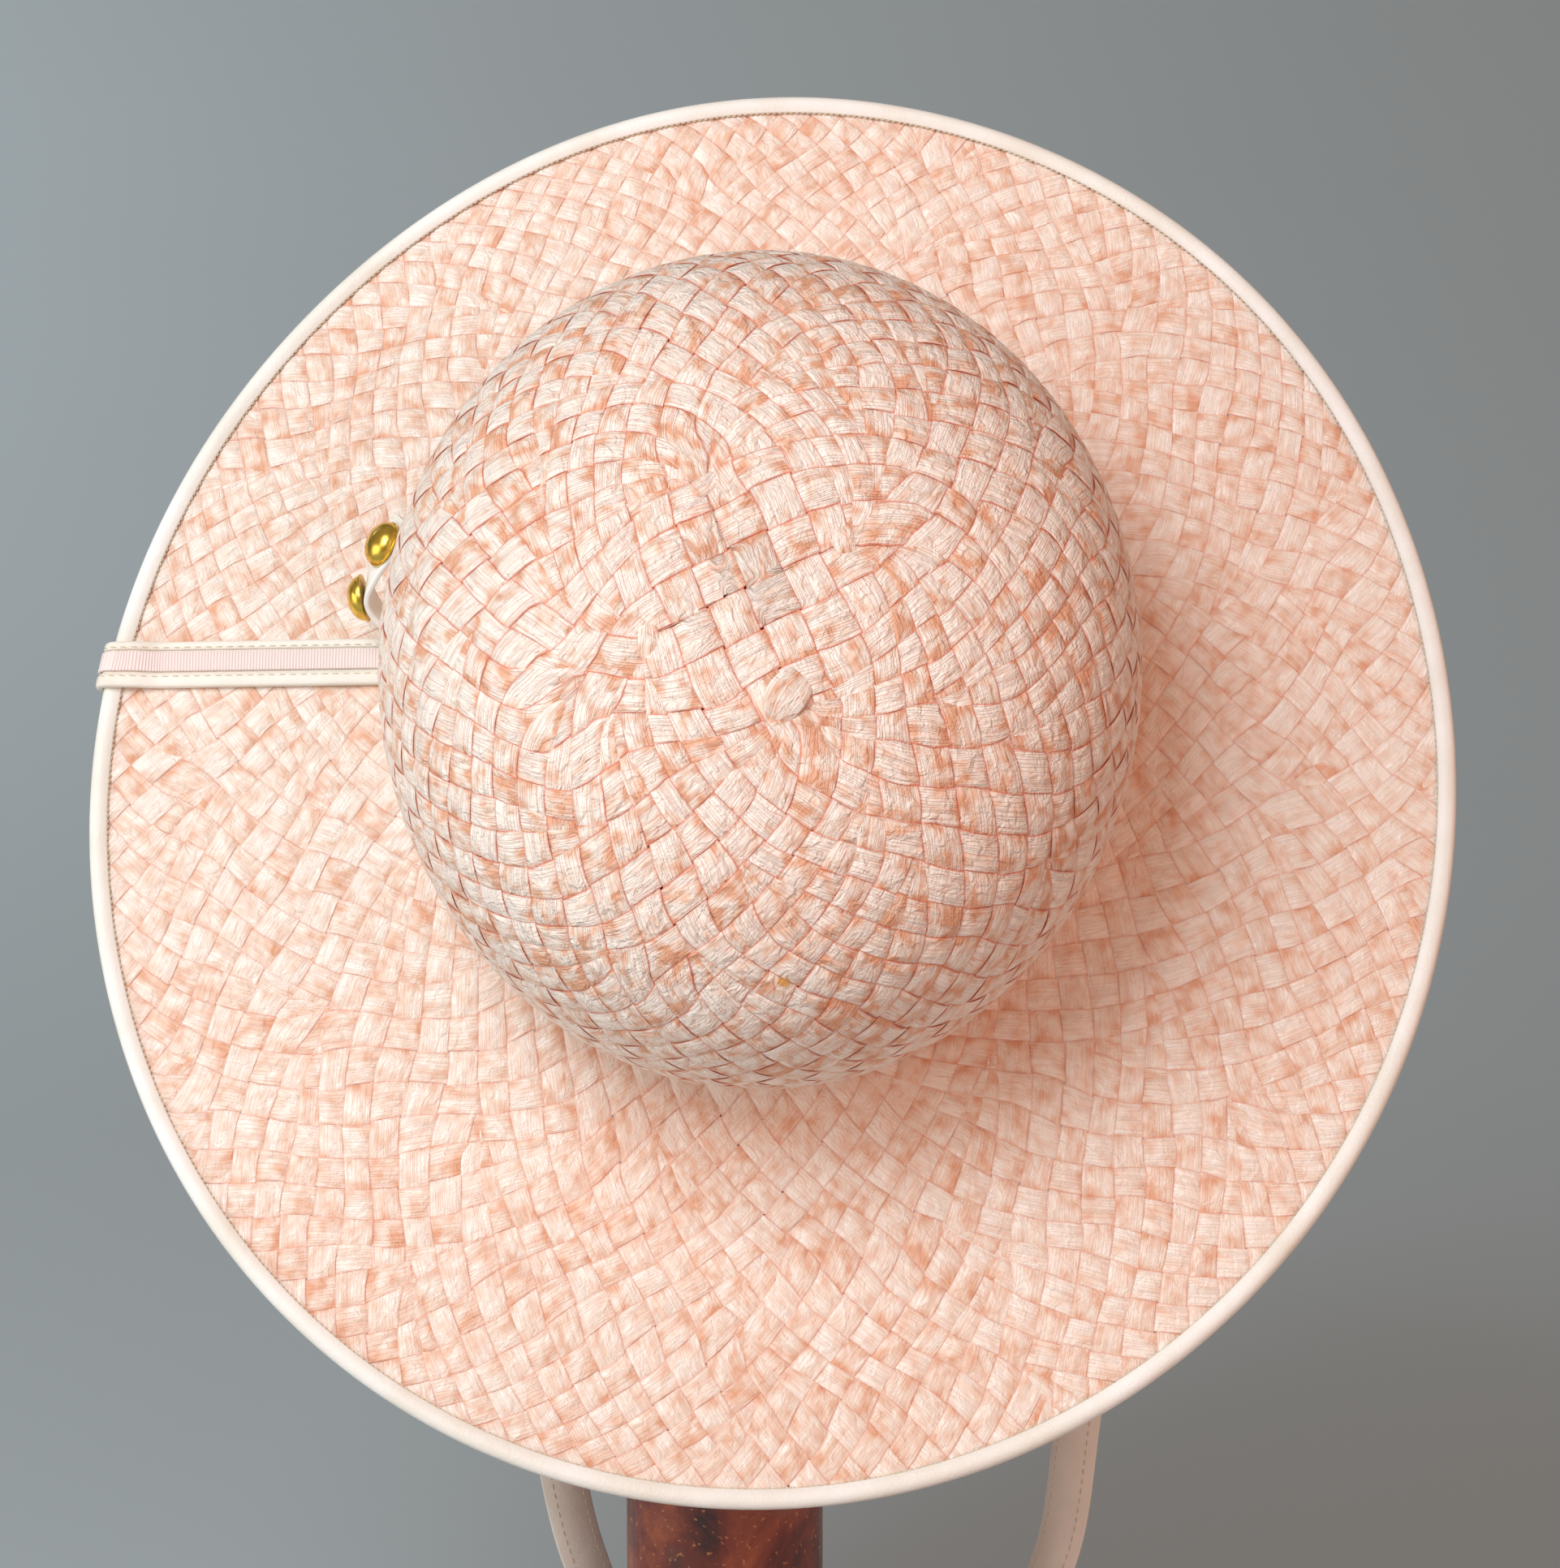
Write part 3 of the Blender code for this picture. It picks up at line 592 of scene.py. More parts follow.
def strip_body(plan, ride, lift, thickness, relief):
    """Closed ribbon of one strip: its points, and for each its place across and along in millimetres.

    The middle rides over and under by relief times ride, lower at the edges. The top and foot stand
    half a thickness to either side, thinner at the edges."""
    points = woven_surface(plan)
    normals = surface_normals(plan, points)
    shares = np.array(TOP_SHARES)[None, :, None] * 2
    middle = points + normals * (relief[..., None] * ride[..., None] * (1 - EDGE_DROP * shares ** 2)
                                 + lift[..., None])
    half = thickness[..., None] / 2 * (1 - EDGE_THINNING * np.abs(shares) ** 6)
    columns = [int(np.argmin(np.abs(np.array(TOP_SHARES) - share))) for share in FOOT_SHARES]
    ring = np.concatenate([middle + normals * half, (middle - normals * half)[:, columns]], axis=1)
    width = np.linalg.norm(points[:, -1] - points[:, 0], axis=-1)
    centre = points[:, len(TOP_SHARES) // 2]
    along = way_along(centre)
    shares_round = np.append(TOP_SHARES, FOOT_SHARES)
    across = width[:, None] * shares_round[None, :]
    uv = np.stack([across * MM, np.broadcast_to(along[:, None] * MM, across.shape)], axis=-1)
    # Painted shade: the foot's dip is lowered so the underside takes the painted shade and glow
    dip = np.concatenate([ride, ride[:, columns] - FOOT_PAINTED_SHADE], axis=1)
    rim = np.broadcast_to(np.abs(shares_round)[None, :] * 2, across.shape)
    return ring, uv, dip, rim


def ring_faces(rings, sides, closed_path=False):
    """Four-sided faces between neighbouring rings, and flat caps on an open path, as index arrays."""
    this = np.arange(rings if closed_path else rings - 1)[:, None] * sides
    after = (this + sides) % (rings * sides)
    side, beside = np.arange(sides)[None, :], (np.arange(sides)[None, :] + 1) % sides
    quads = np.stack([this + side, this + beside, after + beside, after + side], axis=-1).reshape(-1, 4)
    ends = [] if closed_path else [list(range(sides))[::-1], list(range((rings - 1) * sides, rings * sides))]
    return quads, ends


class PieceShape:
    """Points, faces and point values of a piece, gathered from arrays and made a mesh in one go."""

    def __init__(self):
        self.points, self.quads, self.ends = [], [], []
        self.values = {}
        self.count = 0

    def add(self, points, quads, ends=(), **values):
        """Adds one body's arrays, with its faces counted on from those already there."""
        points = np.asarray(points, dtype=float).reshape(-1, 3)
        self.points.append(points)
        self.quads.append(np.asarray(quads) + self.count)
        self.ends += [[index + self.count for index in end] for end in ends]
        for name, value in values.items():
            self.values.setdefault(name, []).append(np.asarray(value, dtype=float).reshape(len(points), -1))
        self.count += len(points)

    def make(self, name, material, smooth_angle=None):
        """The mesh object of all that was added, with a UV map from uv and attributes from the rest."""
        mesh = bpy.data.meshes.new(name)
        points = np.concatenate(self.points)
        quads = np.concatenate(self.quads)
        ends = self.ends
        corners = np.concatenate([quads.ravel(), np.array([i for end in ends for i in end], dtype=int)])
        sizes = np.concatenate([np.full(len(quads), 4), np.array([len(end) for end in ends], dtype=int)])
        mesh.vertices.add(len(points))
        mesh.vertices.foreach_set("co", points.astype(np.float32).ravel())
        mesh.loops.add(len(corners))
        mesh.loops.foreach_set("vertex_index", corners.astype(np.int32))
        mesh.polygons.add(len(sizes))
        mesh.polygons.foreach_set("loop_start", (np.cumsum(sizes) - sizes).astype(np.int32))
        mesh.update(calc_edges=True)
        for key, value in self.values.items():
            value = np.concatenate(value)
            if key == "uv":
                layer = mesh.uv_layers.new(name="strip")
                layer.data.foreach_set("uv", value[corners].astype(np.float32).ravel())
            else:
                layer = mesh.attributes.new(key, "FLOAT", "POINT")
                layer.data.foreach_set("value", value.astype(np.float32).ravel())
        mesh.shade_smooth()
        if smooth_angle:
            mesh.set_sharp_from_angle(angle=math.radians(smooth_angle))
        mesh.materials.append(material)
        if mesh.validate():
            raise ValueError(f"the mesh of {name} held faces that are not sound")
        piece = bpy.data.objects.new(name, mesh)
        bpy.context.collection.objects.link(piece)
        return piece


def add_strip(shape, parts, sizes, strip_seed):
    """Adds one strip made of one or two stretches of rows to a piece's shape."""
    plan, ride, cell, grown = (np.concatenate(rows) for rows in zip(*parts))
    plan = plan * np.exp(1j * math.radians(sizes.patch_turn_degrees))
    reach = np.interp(np.abs(plan), PLAN_RADIUS, PLAN_WAY)
    on_brim = np.clip((reach - MERIDIAN["head"]) / HEAD_BLEND + 0.5, 0.0, 1.0)
    relief = sizes.crown_relief * (1 - on_brim) + sizes.brim_relief * on_brim
    lift = -0.5 * relief * (1 - np.clip(grown, 0.0, 1.0))
    thickness = sizes.crown_thickness * (1 - on_brim) + sizes.brim_thickness * on_brim
    ring, uv, dip, rim = strip_body(plan, ride, lift, thickness, relief)
    count, sides = ring.shape[:2]
    quads, ends = ring_faces(count, sides)
    middle = count // 2
    outward = surface_normals(plan[middle:middle + 1, :1], woven_surface(plan[middle:middle + 1, :1]))
    if np.dot(np.cross(ring[middle, 3] - ring[middle, 2],
                       ring[min(middle + 1, count - 1), 2] - ring[middle, 2]), outward[0, 0]) < 0:
        quads = quads[:, ::-1]
        ends = [end[::-1] for end in ends]
    uv = uv.reshape(-1, 2) + np.array([0.0, MM * steady_share(strip_seed)])
    columns = [0] * (sides - len(TOP_SHARES))
    # The tone holds each strip's and crossing's random tone, plus the families' painted sheen
    tone = 0.5 * steady_share(strip_seed + 40) + 0.5 * np.concatenate([cell, cell[:, columns]], axis=1)
    shape.add(to_world(ring.reshape(-1, 3)), quads, ends, uv=uv, dip=dip, rim=rim, tone=tone)


def weave(sizes):
    """The four pieces of the plait: two families over the crown and two over the brim.

    Strips of the first family run clockwise from the patch, and those of the second are its mirror
    image. A base strip starts in the middle of the patch, where its two halves meet, and runs out both
    ways. At the head line each strip is cut once, and its outer stretch belongs to the brim. A painted
    sheen makes strips of the first family a deeper tone than those of the second."""
    patch = patch_table(sizes.corner_reach)
    families = [strip_family(patch, sizes.strip_width, shift) for shift in FAMILY_SHIFTS]
    _, way = level_radius(patch)
    head_level = float(np.interp(MERIDIAN["head"], way, LEVELS))
    edge_level = float(np.interp(MERIDIAN["edge"], way, LEVELS)) + UNDER_BINDING
    shapes = {name: PieceShape() for name in STRIP_PIECES}
    halves = {}
    for side, (own, other) in enumerate((families, families[::-1])):
        sign = 1.0 - 2.0 * side
        base_seen = 0
        for strip, birth in enumerate(own["births"]):
            start = birth + BIRTH_START
            if birth == 0.0:
                start = base_seen % QUARTER_STRIPS + 0.5
            for first, last, cell_steps in ((start, head_level, CROWN_CELL_STEPS),
                                            (max(start, head_level), edge_level, BRIM_CELL_STEPS)):
                if first >= last:
                    continue
                plan, ride, tone, grown = strip_rows(patch, own, other, strip, first, last, cell_steps)
                on_brim = last == edge_level
                from_middle = birth == 0.0 and not on_brim
                # Painted sheen: the family's tone is shifted deeper or lighter, faded in from the patch's
                # middle
                fade = np.arange(len(plan))[:, None] / (PAINTED_SHEEN_FADE_CELLS * CROWN_CELL_STEPS)
                tone = tone + sign * FAMILY_PAINTED_SHEEN * (np.clip(fade, 0.0, 1.0) if from_middle else 1.0)
                part = (np.conj(plan) if side else plan, ride * sign, tone, grown)
                if from_middle:
                    quarter = base_seen // QUARTER_STRIPS
                    key = ((-quarter if side else quarter) % QUARTERS, base_seen % QUARTER_STRIPS)
                    halves.setdefault(key, {})[side] = part
                else:
                    seed = strip + 100 * side + 200 * on_brim
                    add_strip(shapes[STRIP_PIECES[side + 2 * on_brim]], [part], sizes, seed)
            if birth == 0.0:
                base_seen += 1
    for (quarter, inner), half in halves.items():
        back = tuple(rows[:0:-1] for rows in half[1])
        add_strip(shapes[STRIP_PIECES[quarter % 2]], [back, half[0]], sizes, quarter * 7 + inner)
    return shapes


def corner_folds(sizes, steps=20, sides=16):
    """Short folded strips over the patch's corners, where the plait turns and its strips are tucked in.

    Each is an oval section carried along a low bow: it widens and rises to the middle as one less the
    square of the way, and both its ends dive under the plait."""
    shape = PieceShape()
    way = np.linspace(-1.0, 1.0, steps)
    turn = np.arange(sides) * math.tau / sides
    for corner, bearing, length, width, rise in CORNER_FOLDS:
        outward = math.radians(sizes.patch_turn_degrees) + math.pi / 2 * corner
        bow = length / 2 * way + 1j * FOLD_BOW * (1 - way ** 2)
        plan = (sizes.corner_reach * np.exp(1j * outward)
                + bow * np.exp(1j * (outward + math.radians(bearing))))
        base = woven_surface(plan)
        normal = surface_normals(plan, base)
        full = (1 - way ** 2)[:, None]
        path = base + normal * (rise * full - FOLD_DIVE * (1 - full))
        tangents = np.gradient(path, axis=0)
        across = squared_to(np.cross(normal, tangents), normalised(tangents))
        spread = across * width / 2 * (FOLD_END_WIDTH + (1 - FOLD_END_WIDTH) * full)
        ring = (path[:, None] + spread[:, None] * np.cos(turn)[:, None]
                + (normal * FOLD_HALF_THICKNESS)[:, None] * np.sin(turn)[:, None])
        quads, ends = turn_outwards(ring - path.mean(axis=0), *ring_faces(steps, sides))
        across_mm = np.broadcast_to(np.cos(turn) * width / 2 * MM, (steps, sides))
        uv = np.stack([across_mm, np.broadcast_to(way[:, None] * length / 2 * MM, (steps, sides))], axis=-1)
        # Painted glow and shade: the sides take the painted orange glow through the rim, and the dip is
        # lowered towards the ends, so they take painted shade where they dive under
        flat = np.broadcast_to(full, (steps, sides))
        rim = FOLD_PAINTED_GLOW_RIM * np.abs(np.broadcast_to(np.cos(turn), (steps, sides))) ** 3
        # The shift of the pattern keeps two folds from showing the same patches
        shape.add(to_world(ring.reshape(-1, 3)), quads, ends, uv=uv.reshape(-1, 2) + 300.0 * bearing,
                  dip=flat - 0.3, rim=rim, tone=np.full(steps * sides, FOLD_TONE))
    return shape


# Trim: binding, straps, ribbons, tab, studs and their stitches

def rounded_outline(half_width, low, high, rounding, steps=4):
    """A flat bar's outline with quarter rounds at its four corners, counted round once."""
    turn = np.linspace(0.0, math.pi / 2, steps)
    right, foot, top = half_width - rounding, low + rounding, high - rounding
    corners = ((right, foot, -math.pi / 2), (right, top, 0.0),
               (-right, top, math.pi / 2), (-right, foot, math.pi))
    return np.concatenate([np.column_stack([x + rounding * np.cos(turn + start),
                                            y + rounding * np.sin(turn + start)]) for x, y, start in corners])


def turn_outwards(points, quads, ends):
    """Faces in the order that makes the enclosed volume positive, summed over fans of triangles."""
    flat = points.reshape(-1, 3)
    a, b, c, d = (flat[quads[:, k]] for k in range(4))
    volume = (np.cross(b, c) * a).sum() + (np.cross(c, d) * a).sum()
    for end in ends:
        loop = flat[end]
        volume += (np.cross(loop[1:-1], loop[2:]) * loop[0]).sum()
    if volume < 0:
        return quads[:, ::-1], [end[::-1] for end in ends]
    return quads, ends


def add_swept(shape, path, across, up, outline, closed=False, world=False):
    """Adds an outline carried along a path: each point is the path's plus its share across and up.

    Its UV is the place across and along the path in millimetres. Hat points are brought to the part's
    frame, and the faces are turned outwards."""
    ring = (path[:, None] + outline[None, :, :1] * across[:, None] + outline[None, :, 1:] * up[:, None])
    along = way_along(path)
    uv = np.stack([np.broadcast_to(outline[None, :, 0] * MM, ring.shape[:2]),
                   np.broadcast_to(along[:, None] * MM, ring.shape[:2])], axis=-1)
    points = ring if world else to_world(ring)
    quads, ends = turn_outwards(points - HAT_CENTRE, *ring_faces(len(path), len(outline), closed_path=closed))
    shape.add(points, quads, ends, uv=uv.reshape(-1, 2))


def smooth_route(points, steps):
    """Rows read at even steps from a cubic curve through the route's rows, its slopes from its neighbours."""
    points = np.array(points, dtype=float)
    knots = way_along(points[:, :3])
    slopes = np.gradient(points, knots, axis=0)
    wanted = np.linspace(0.0, knots[-1], steps + 1)
    span = np.clip(np.searchsorted(knots, wanted, side="right") - 1, 0, len(knots) - 2)
    length = (knots[span + 1] - knots[span])[:, None]
    t = (wanted - knots[span])[:, None] / length
    start, end = points[span], points[span + 1]
    leave, arrive = slopes[span] * length, slopes[span + 1] * length
    return (start * (2 * t ** 3 - 3 * t ** 2 + 1) + leave * (t ** 3 - 2 * t ** 2 + t)
            + end * (3 * t ** 2 - 2 * t ** 3) + arrive * (t ** 3 - t ** 2))


def binding_rings(steps=720):
    """Middle line of the straw's edge, and the directions out of it and up, at even angles."""
    angle = np.arange(steps) * math.tau / steps
    edge = brim_edge(angle) - BINDING_REACH
    path = np.stack([edge * np.cos(angle), edge * np.sin(angle), brim_height(edge, angle)], axis=-1)
    out = np.stack([np.cos(angle), np.sin(angle), np.zeros(steps)], axis=-1)
    return path, out, np.broadcast_to([0.0, 0.0, 1.0], path.shape)


def binding_outline():
    """The binding's section: a half round outside, two lips that taper inwards, and the slot between."""
    half, lip = BINDING_HALF_THICKNESS, BINDING_HALF_THICKNESS - BINDING_LIP_DROP
    slot = STRAW_WALL / 2 + GAP
    middle = BINDING_REACH - half
    turn = np.linspace(math.pi / 2, -math.pi / 2, 13)
    roll = np.column_stack([middle + half * np.cos(turn), half * np.sin(turn)])
    upper = np.array([(-BINDING_DEPTH + 0.0004, slot), (-BINDING_DEPTH, slot + 0.0002),
                      (-BINDING_DEPTH, lip - 0.0003), (-BINDING_DEPTH + 0.0003, lip)])
    lower = upper[::-1] * (1, -1)
    return np.concatenate([upper, roll, lower, [(GAP, -slot), (GAP, slot)]])


def stitches(path, across, up, offset_across, offset_up, pitch, length, thickness, shape, world=False):
    """A row of thread stitches: long beads laid at even pitch beside a path, each a stretched ball."""
    line = path + offset_across * across + offset_up * up
    if not world:
        line, across, up = to_world(line), across @ AXES.T, up @ AXES.T
    way = way_along(line)
    places = np.arange(pitch, way[-1] - pitch / 2, pitch)
    spot, side, rise = (np.stack([np.interp(places, way, rows[:, k]) for k in range(3)], axis=-1)
                        for rows in (line, across, up))
    side = normalised(side)
    rise = squared_to(rise, side)
    tangent = np.cross(side, rise)
    turns = np.linspace(0.0, math.pi, STITCH_RINGS)
    round_way = np.arange(STITCH_RINGS) * math.tau / STITCH_RINGS
    radius = np.maximum(np.sin(turns), 0.05)[:, None] * thickness / 2
    bead = np.stack([np.broadcast_to(-np.cos(turns)[:, None] * length / 2, (STITCH_RINGS, STITCH_RINGS)),
                     radius * np.cos(round_way), radius * np.sin(round_way)], axis=-1)
    points = (spot[:, None, None] + bead[None, ..., :1] * tangent[:, None, None]
              + bead[None, ..., 1:2] * side[:, None, None] + bead[None, ..., 2:] * rise[:, None, None])
    quads, ends = ring_faces(STITCH_RINGS, STITCH_RINGS)
    quads, ends = turn_outwards(points[0] - points[0].mean(axis=(0, 1)), quads, ends)
    offsets = np.arange(len(places)) * STITCH_RINGS ** 2
    all_quads = (quads[None] + offsets[:, None, None]).reshape(-1, 4)
    all_ends = [[index + offset for index in end] for offset in offsets for end in ends]
    shape.add(points.reshape(-1, 3), all_quads, all_ends, uv=np.zeros((len(places) * STITCH_RINGS ** 2, 2)))


def strap_outline(steps=9):
    """The strap's section: a flat back, a roll along each edge, and the channel's floor between them."""
    left, right = -STRAP_WIDTH / 2, STRAP_WIDTH / 2
    soft = STRAP_BACK_ROUNDING
    turn = np.linspace(0.0, math.pi, steps)
    height = STRAP_FLOOR + (STRAP_EDGE_HEIGHT - STRAP_FLOOR) * np.sin(turn) ** ROLL_FULLNESS
    rolls = [np.column_stack([(low + high) / 2 + (high - low) / 2 * np.cos(turn), height])
             for low, high in ((right - STRAP_UPPER_EDGE, right), (left, left + STRAP_LOWER_EDGE))]
    back = np.array([(left, soft), (left + soft, 0.0), (right - soft, 0.0), (right, soft)])
    return np.concatenate([back, *rolls])


def ribbon_outline():
    """The ribbon's section: a flat bar with rounded selvedges, in the strap's channel."""
    left = -STRAP_WIDTH / 2 + STRAP_LOWER_EDGE + RIBBON_GAP
    right = STRAP_WIDTH / 2 - STRAP_UPPER_EDGE - RIBBON_GAP
    foot = STRAP_FLOOR + RIBBON_GAP / 2
    bar = rounded_outline((right - left) / 2, foot, foot + RIBBON_THICKNESS * 0.85, 0.00025)
    return bar + np.array([(left + right) / 2, 0.0])


def brim_point(x, v):
    """A point in the middle of the brim's straw, and the straw's normal from its slopes there."""
    def height(px, pv):
        return brim_height(math.hypot(px, pv), math.atan2(pv, px))
    step = 0.002
    normal = np.array([-(height(x + step, v) - height(x - step, v)) / (2 * step),
                       -(height(x, v + step) - height(x, v - step)) / (2 * step), 1.0])
    return np.array([x, v, height(x, v)]), normal / np.linalg.norm(normal)


def edge_distance(v):
    """How far left of the middle the straw's edge stands, at one height on the brim."""
    x = -EDGE_HALF_WIDTH
    for _ in range(8):
        x = -(brim_edge(math.atan2(v, x)) - BINDING_REACH) * abs(math.cos(math.atan2(v, x)))
    return -x


def brim_strap_path(run_steps=40, round_steps=16):
    """Path of the strap's back: out over the brim, round the binding and home underneath."""
    v = BRIM_STRAP_HEIGHT
    edge = edge_distance(v)
    slant = (edge_distance(v + STRAP_WIDTH / 2) - edge_distance(v - STRAP_WIDTH / 2)) / STRAP_WIDTH
    flat = STRAW_WALL / 2 + GAP
    clear = BINDING_HALF_THICKNESS + BRIM_STRAP_ROUND_GAP
    shoulder = edge - BINDING_DEPTH - BRIM_STRAP_SHOULDER
    middle = BINDING_REACH - BINDING_HALF_THICKNESS
    lift = np.linspace(0.0, 1.0, 9)
    ease = lift * lift * (3 - 2 * lift)
    ramp = edge - BRIM_STRAP_LIFT + (shoulder - edge + BRIM_STRAP_LIFT) * lift
    rows = [(x, flat, 0.0) for x in np.linspace(BRIM_STRAP_INNER, edge - BRIM_STRAP_LIFT, run_steps)[:-1]]
    rows += [(x, flat + (clear - flat) * e, 0.5 * e) for x, e in zip(ramp, ease)]
    for turn in np.linspace(math.pi / 2, -math.pi / 2, round_steps + 1):
        rows.append((edge + middle + clear * math.cos(turn), clear * math.sin(turn), 1.0))
    rows += [(x, -(flat + (clear - flat) * e), 0.5 * e) for x, e in zip(ramp[::-1], ease[::-1])]
    rows += [(x, -flat, 0.0)
             for x in np.linspace(edge - BRIM_STRAP_LIFT, BRIM_STRAP_UNDER_END, run_steps)[1:]]
    path, across, up = [], [], []
    for index, (x, above, slanted) in enumerate(rows):
        on_straw = min(x, edge - BINDING_DEPTH)
        point, normal = brim_point(-on_straw, v)
        point = point + np.array([on_straw - x, 0.0, 0.0]) + normal * above
        before, after = rows[max(index - 1, 0)], rows[min(index + 1, len(rows) - 1)]
        run = np.array([-(after[0] - before[0]), 0.0, after[1] - before[1]])
        width = np.array([-slant * slanted, 1.0, 0.0])
        width = width - normal * np.dot(width, normal)
        path.append(point)
        across.append(width)
        up.append(np.cross(width, run))
    return np.array(path), normalised(np.array(across)), normalised(np.array(up))


def chin_strap_path(steps=360):
    """Path of the chin strap's back in the part's frame, with the directions across it and out of it."""
    seats = [(*(AXES @ (-CHIN_STRAP_SEAT_X, v, -GAP)), 0.0) for v in CHIN_STRAP_SEAT_HEIGHTS]
    far_seats = [(*(AXES @ (CHIN_STRAP_SEAT_X, v, -GAP)), 180.0) for v in CHIN_STRAP_SEAT_HEIGHTS]
    rows = smooth_route(seats + list(CHIN_STRAP_ROUTE) + far_seats[::-1], steps)
    path = rows[:, :3] + HAT_CENTRE
    twist = np.radians(rows[:, 3])
    tangents = normalised(np.gradient(path, axis=0))
    width = np.cos(twist)[:, None] * AXES[:, 0] + np.sin(twist)[:, None] * np.array([0.0, 1.0, 0.0])
    across = squared_to(width, tangents)
    return path, across, np.cross(across, tangents)


def tab_path(steps=64):
    """Path of the tab's back in the hat's frame, with the directions across it and out of its face."""
    rows = smooth_route(TAB_ROUTE, steps)
    path = rows[:, :3]
    tangents = normalised(np.gradient(path, axis=0))
    up = squared_to(rows[:, 3:], tangents)
    return path, np.cross(tangents, up), up


def stud_profile():
    """Radius and height of a dome stud: a thin flange, a shallow groove, and a dome like half an oval."""
    turn = np.linspace(0.0, math.pi / 2, 14)
    flange = [(STUD_NECK, 0.0), (STUD_FLANGE, 0.0001), (STUD_FLANGE, 0.0005), (STUD_RADIUS, STUD_FOOT)]
    dome = np.column_stack([STUD_RADIUS * np.cos(turn), STUD_FOOT + STUD_RISE * np.sin(turn)])
    return np.concatenate([flange, dome[:-1]])


def add_stud(shape, share, sides=48):
    """Adds a stud seated on the tab: its profile turned about the tab's face direction."""
    path, across, up = tab_path(16)
    index = round(share * (len(path) - 1))
    out, side = up[index], across[index]
    other = np.cross(out, side)
    seat = path[index] + out * (TAB_THICKNESS + GAP)
    profile = stud_profile()
    angle = np.arange(sides) * math.tau / sides
    round_way = np.cos(angle)[:, None] * side + np.sin(angle)[:, None] * other
    rings = seat + profile[:, :1, None] * round_way[None] + profile[:, 1:, None] * out
    tip = np.broadcast_to(seat + (STUD_FOOT + STUD_RISE) * out, (1, sides, 3)) + 1e-5 * round_way[None]
    rings = to_world(np.concatenate([rings, tip]))
    quads, ends = turn_outwards(rings - rings.mean(axis=(0, 1)), *ring_faces(len(rings), sides))
    shape.add(rings, quads, ends, uv=np.zeros((rings.shape[0] * sides, 2)))


# Materials

def linear(colour):
    """A hex colour in sRGB as linear red, green, blue and alpha."""
    parts = [int(colour[i:i + 2], 16) / 255 for i in (1, 3, 5)]
    return (*[p / 12.92 if p <= 0.04045 else ((p + 0.055) / 1.055) ** 2.4 for p in parts], 1.0)


def add_node(tree, kind, settings=None, links=None, stops=()):
    """Adds a shader node, sets its options, inputs and colour stops, and links its inputs to sockets."""
    node = tree.nodes.new("ShaderNode" + kind)
    for name, value in (settings or {}).items():
        if isinstance(name, str) and hasattr(node, name):
            setattr(node, name, value)
        else:
            node.inputs[name].default_value = value
    for index, (position, colour) in enumerate(stops):
        ramp = node.color_ramp.elements
        stop = ramp[index] if index < 2 else ramp.new(position)
        stop.position, stop.color = position, colour
    for name, socket in (links or {}).items():
        tree.links.new(socket, node.inputs[name])
    return node


def new_material(name, **sockets):
    """A material with one Principled shader, and its node tree and shader to build on."""
    material = bpy.data.materials.new(name)
    material.use_nodes = True
    shader = material.node_tree.nodes["Principled BSDF"]
    for socket, value in sockets.items():
        shader.inputs[socket.replace("_", " ")].default_value = value
    return material, material.node_tree, shader


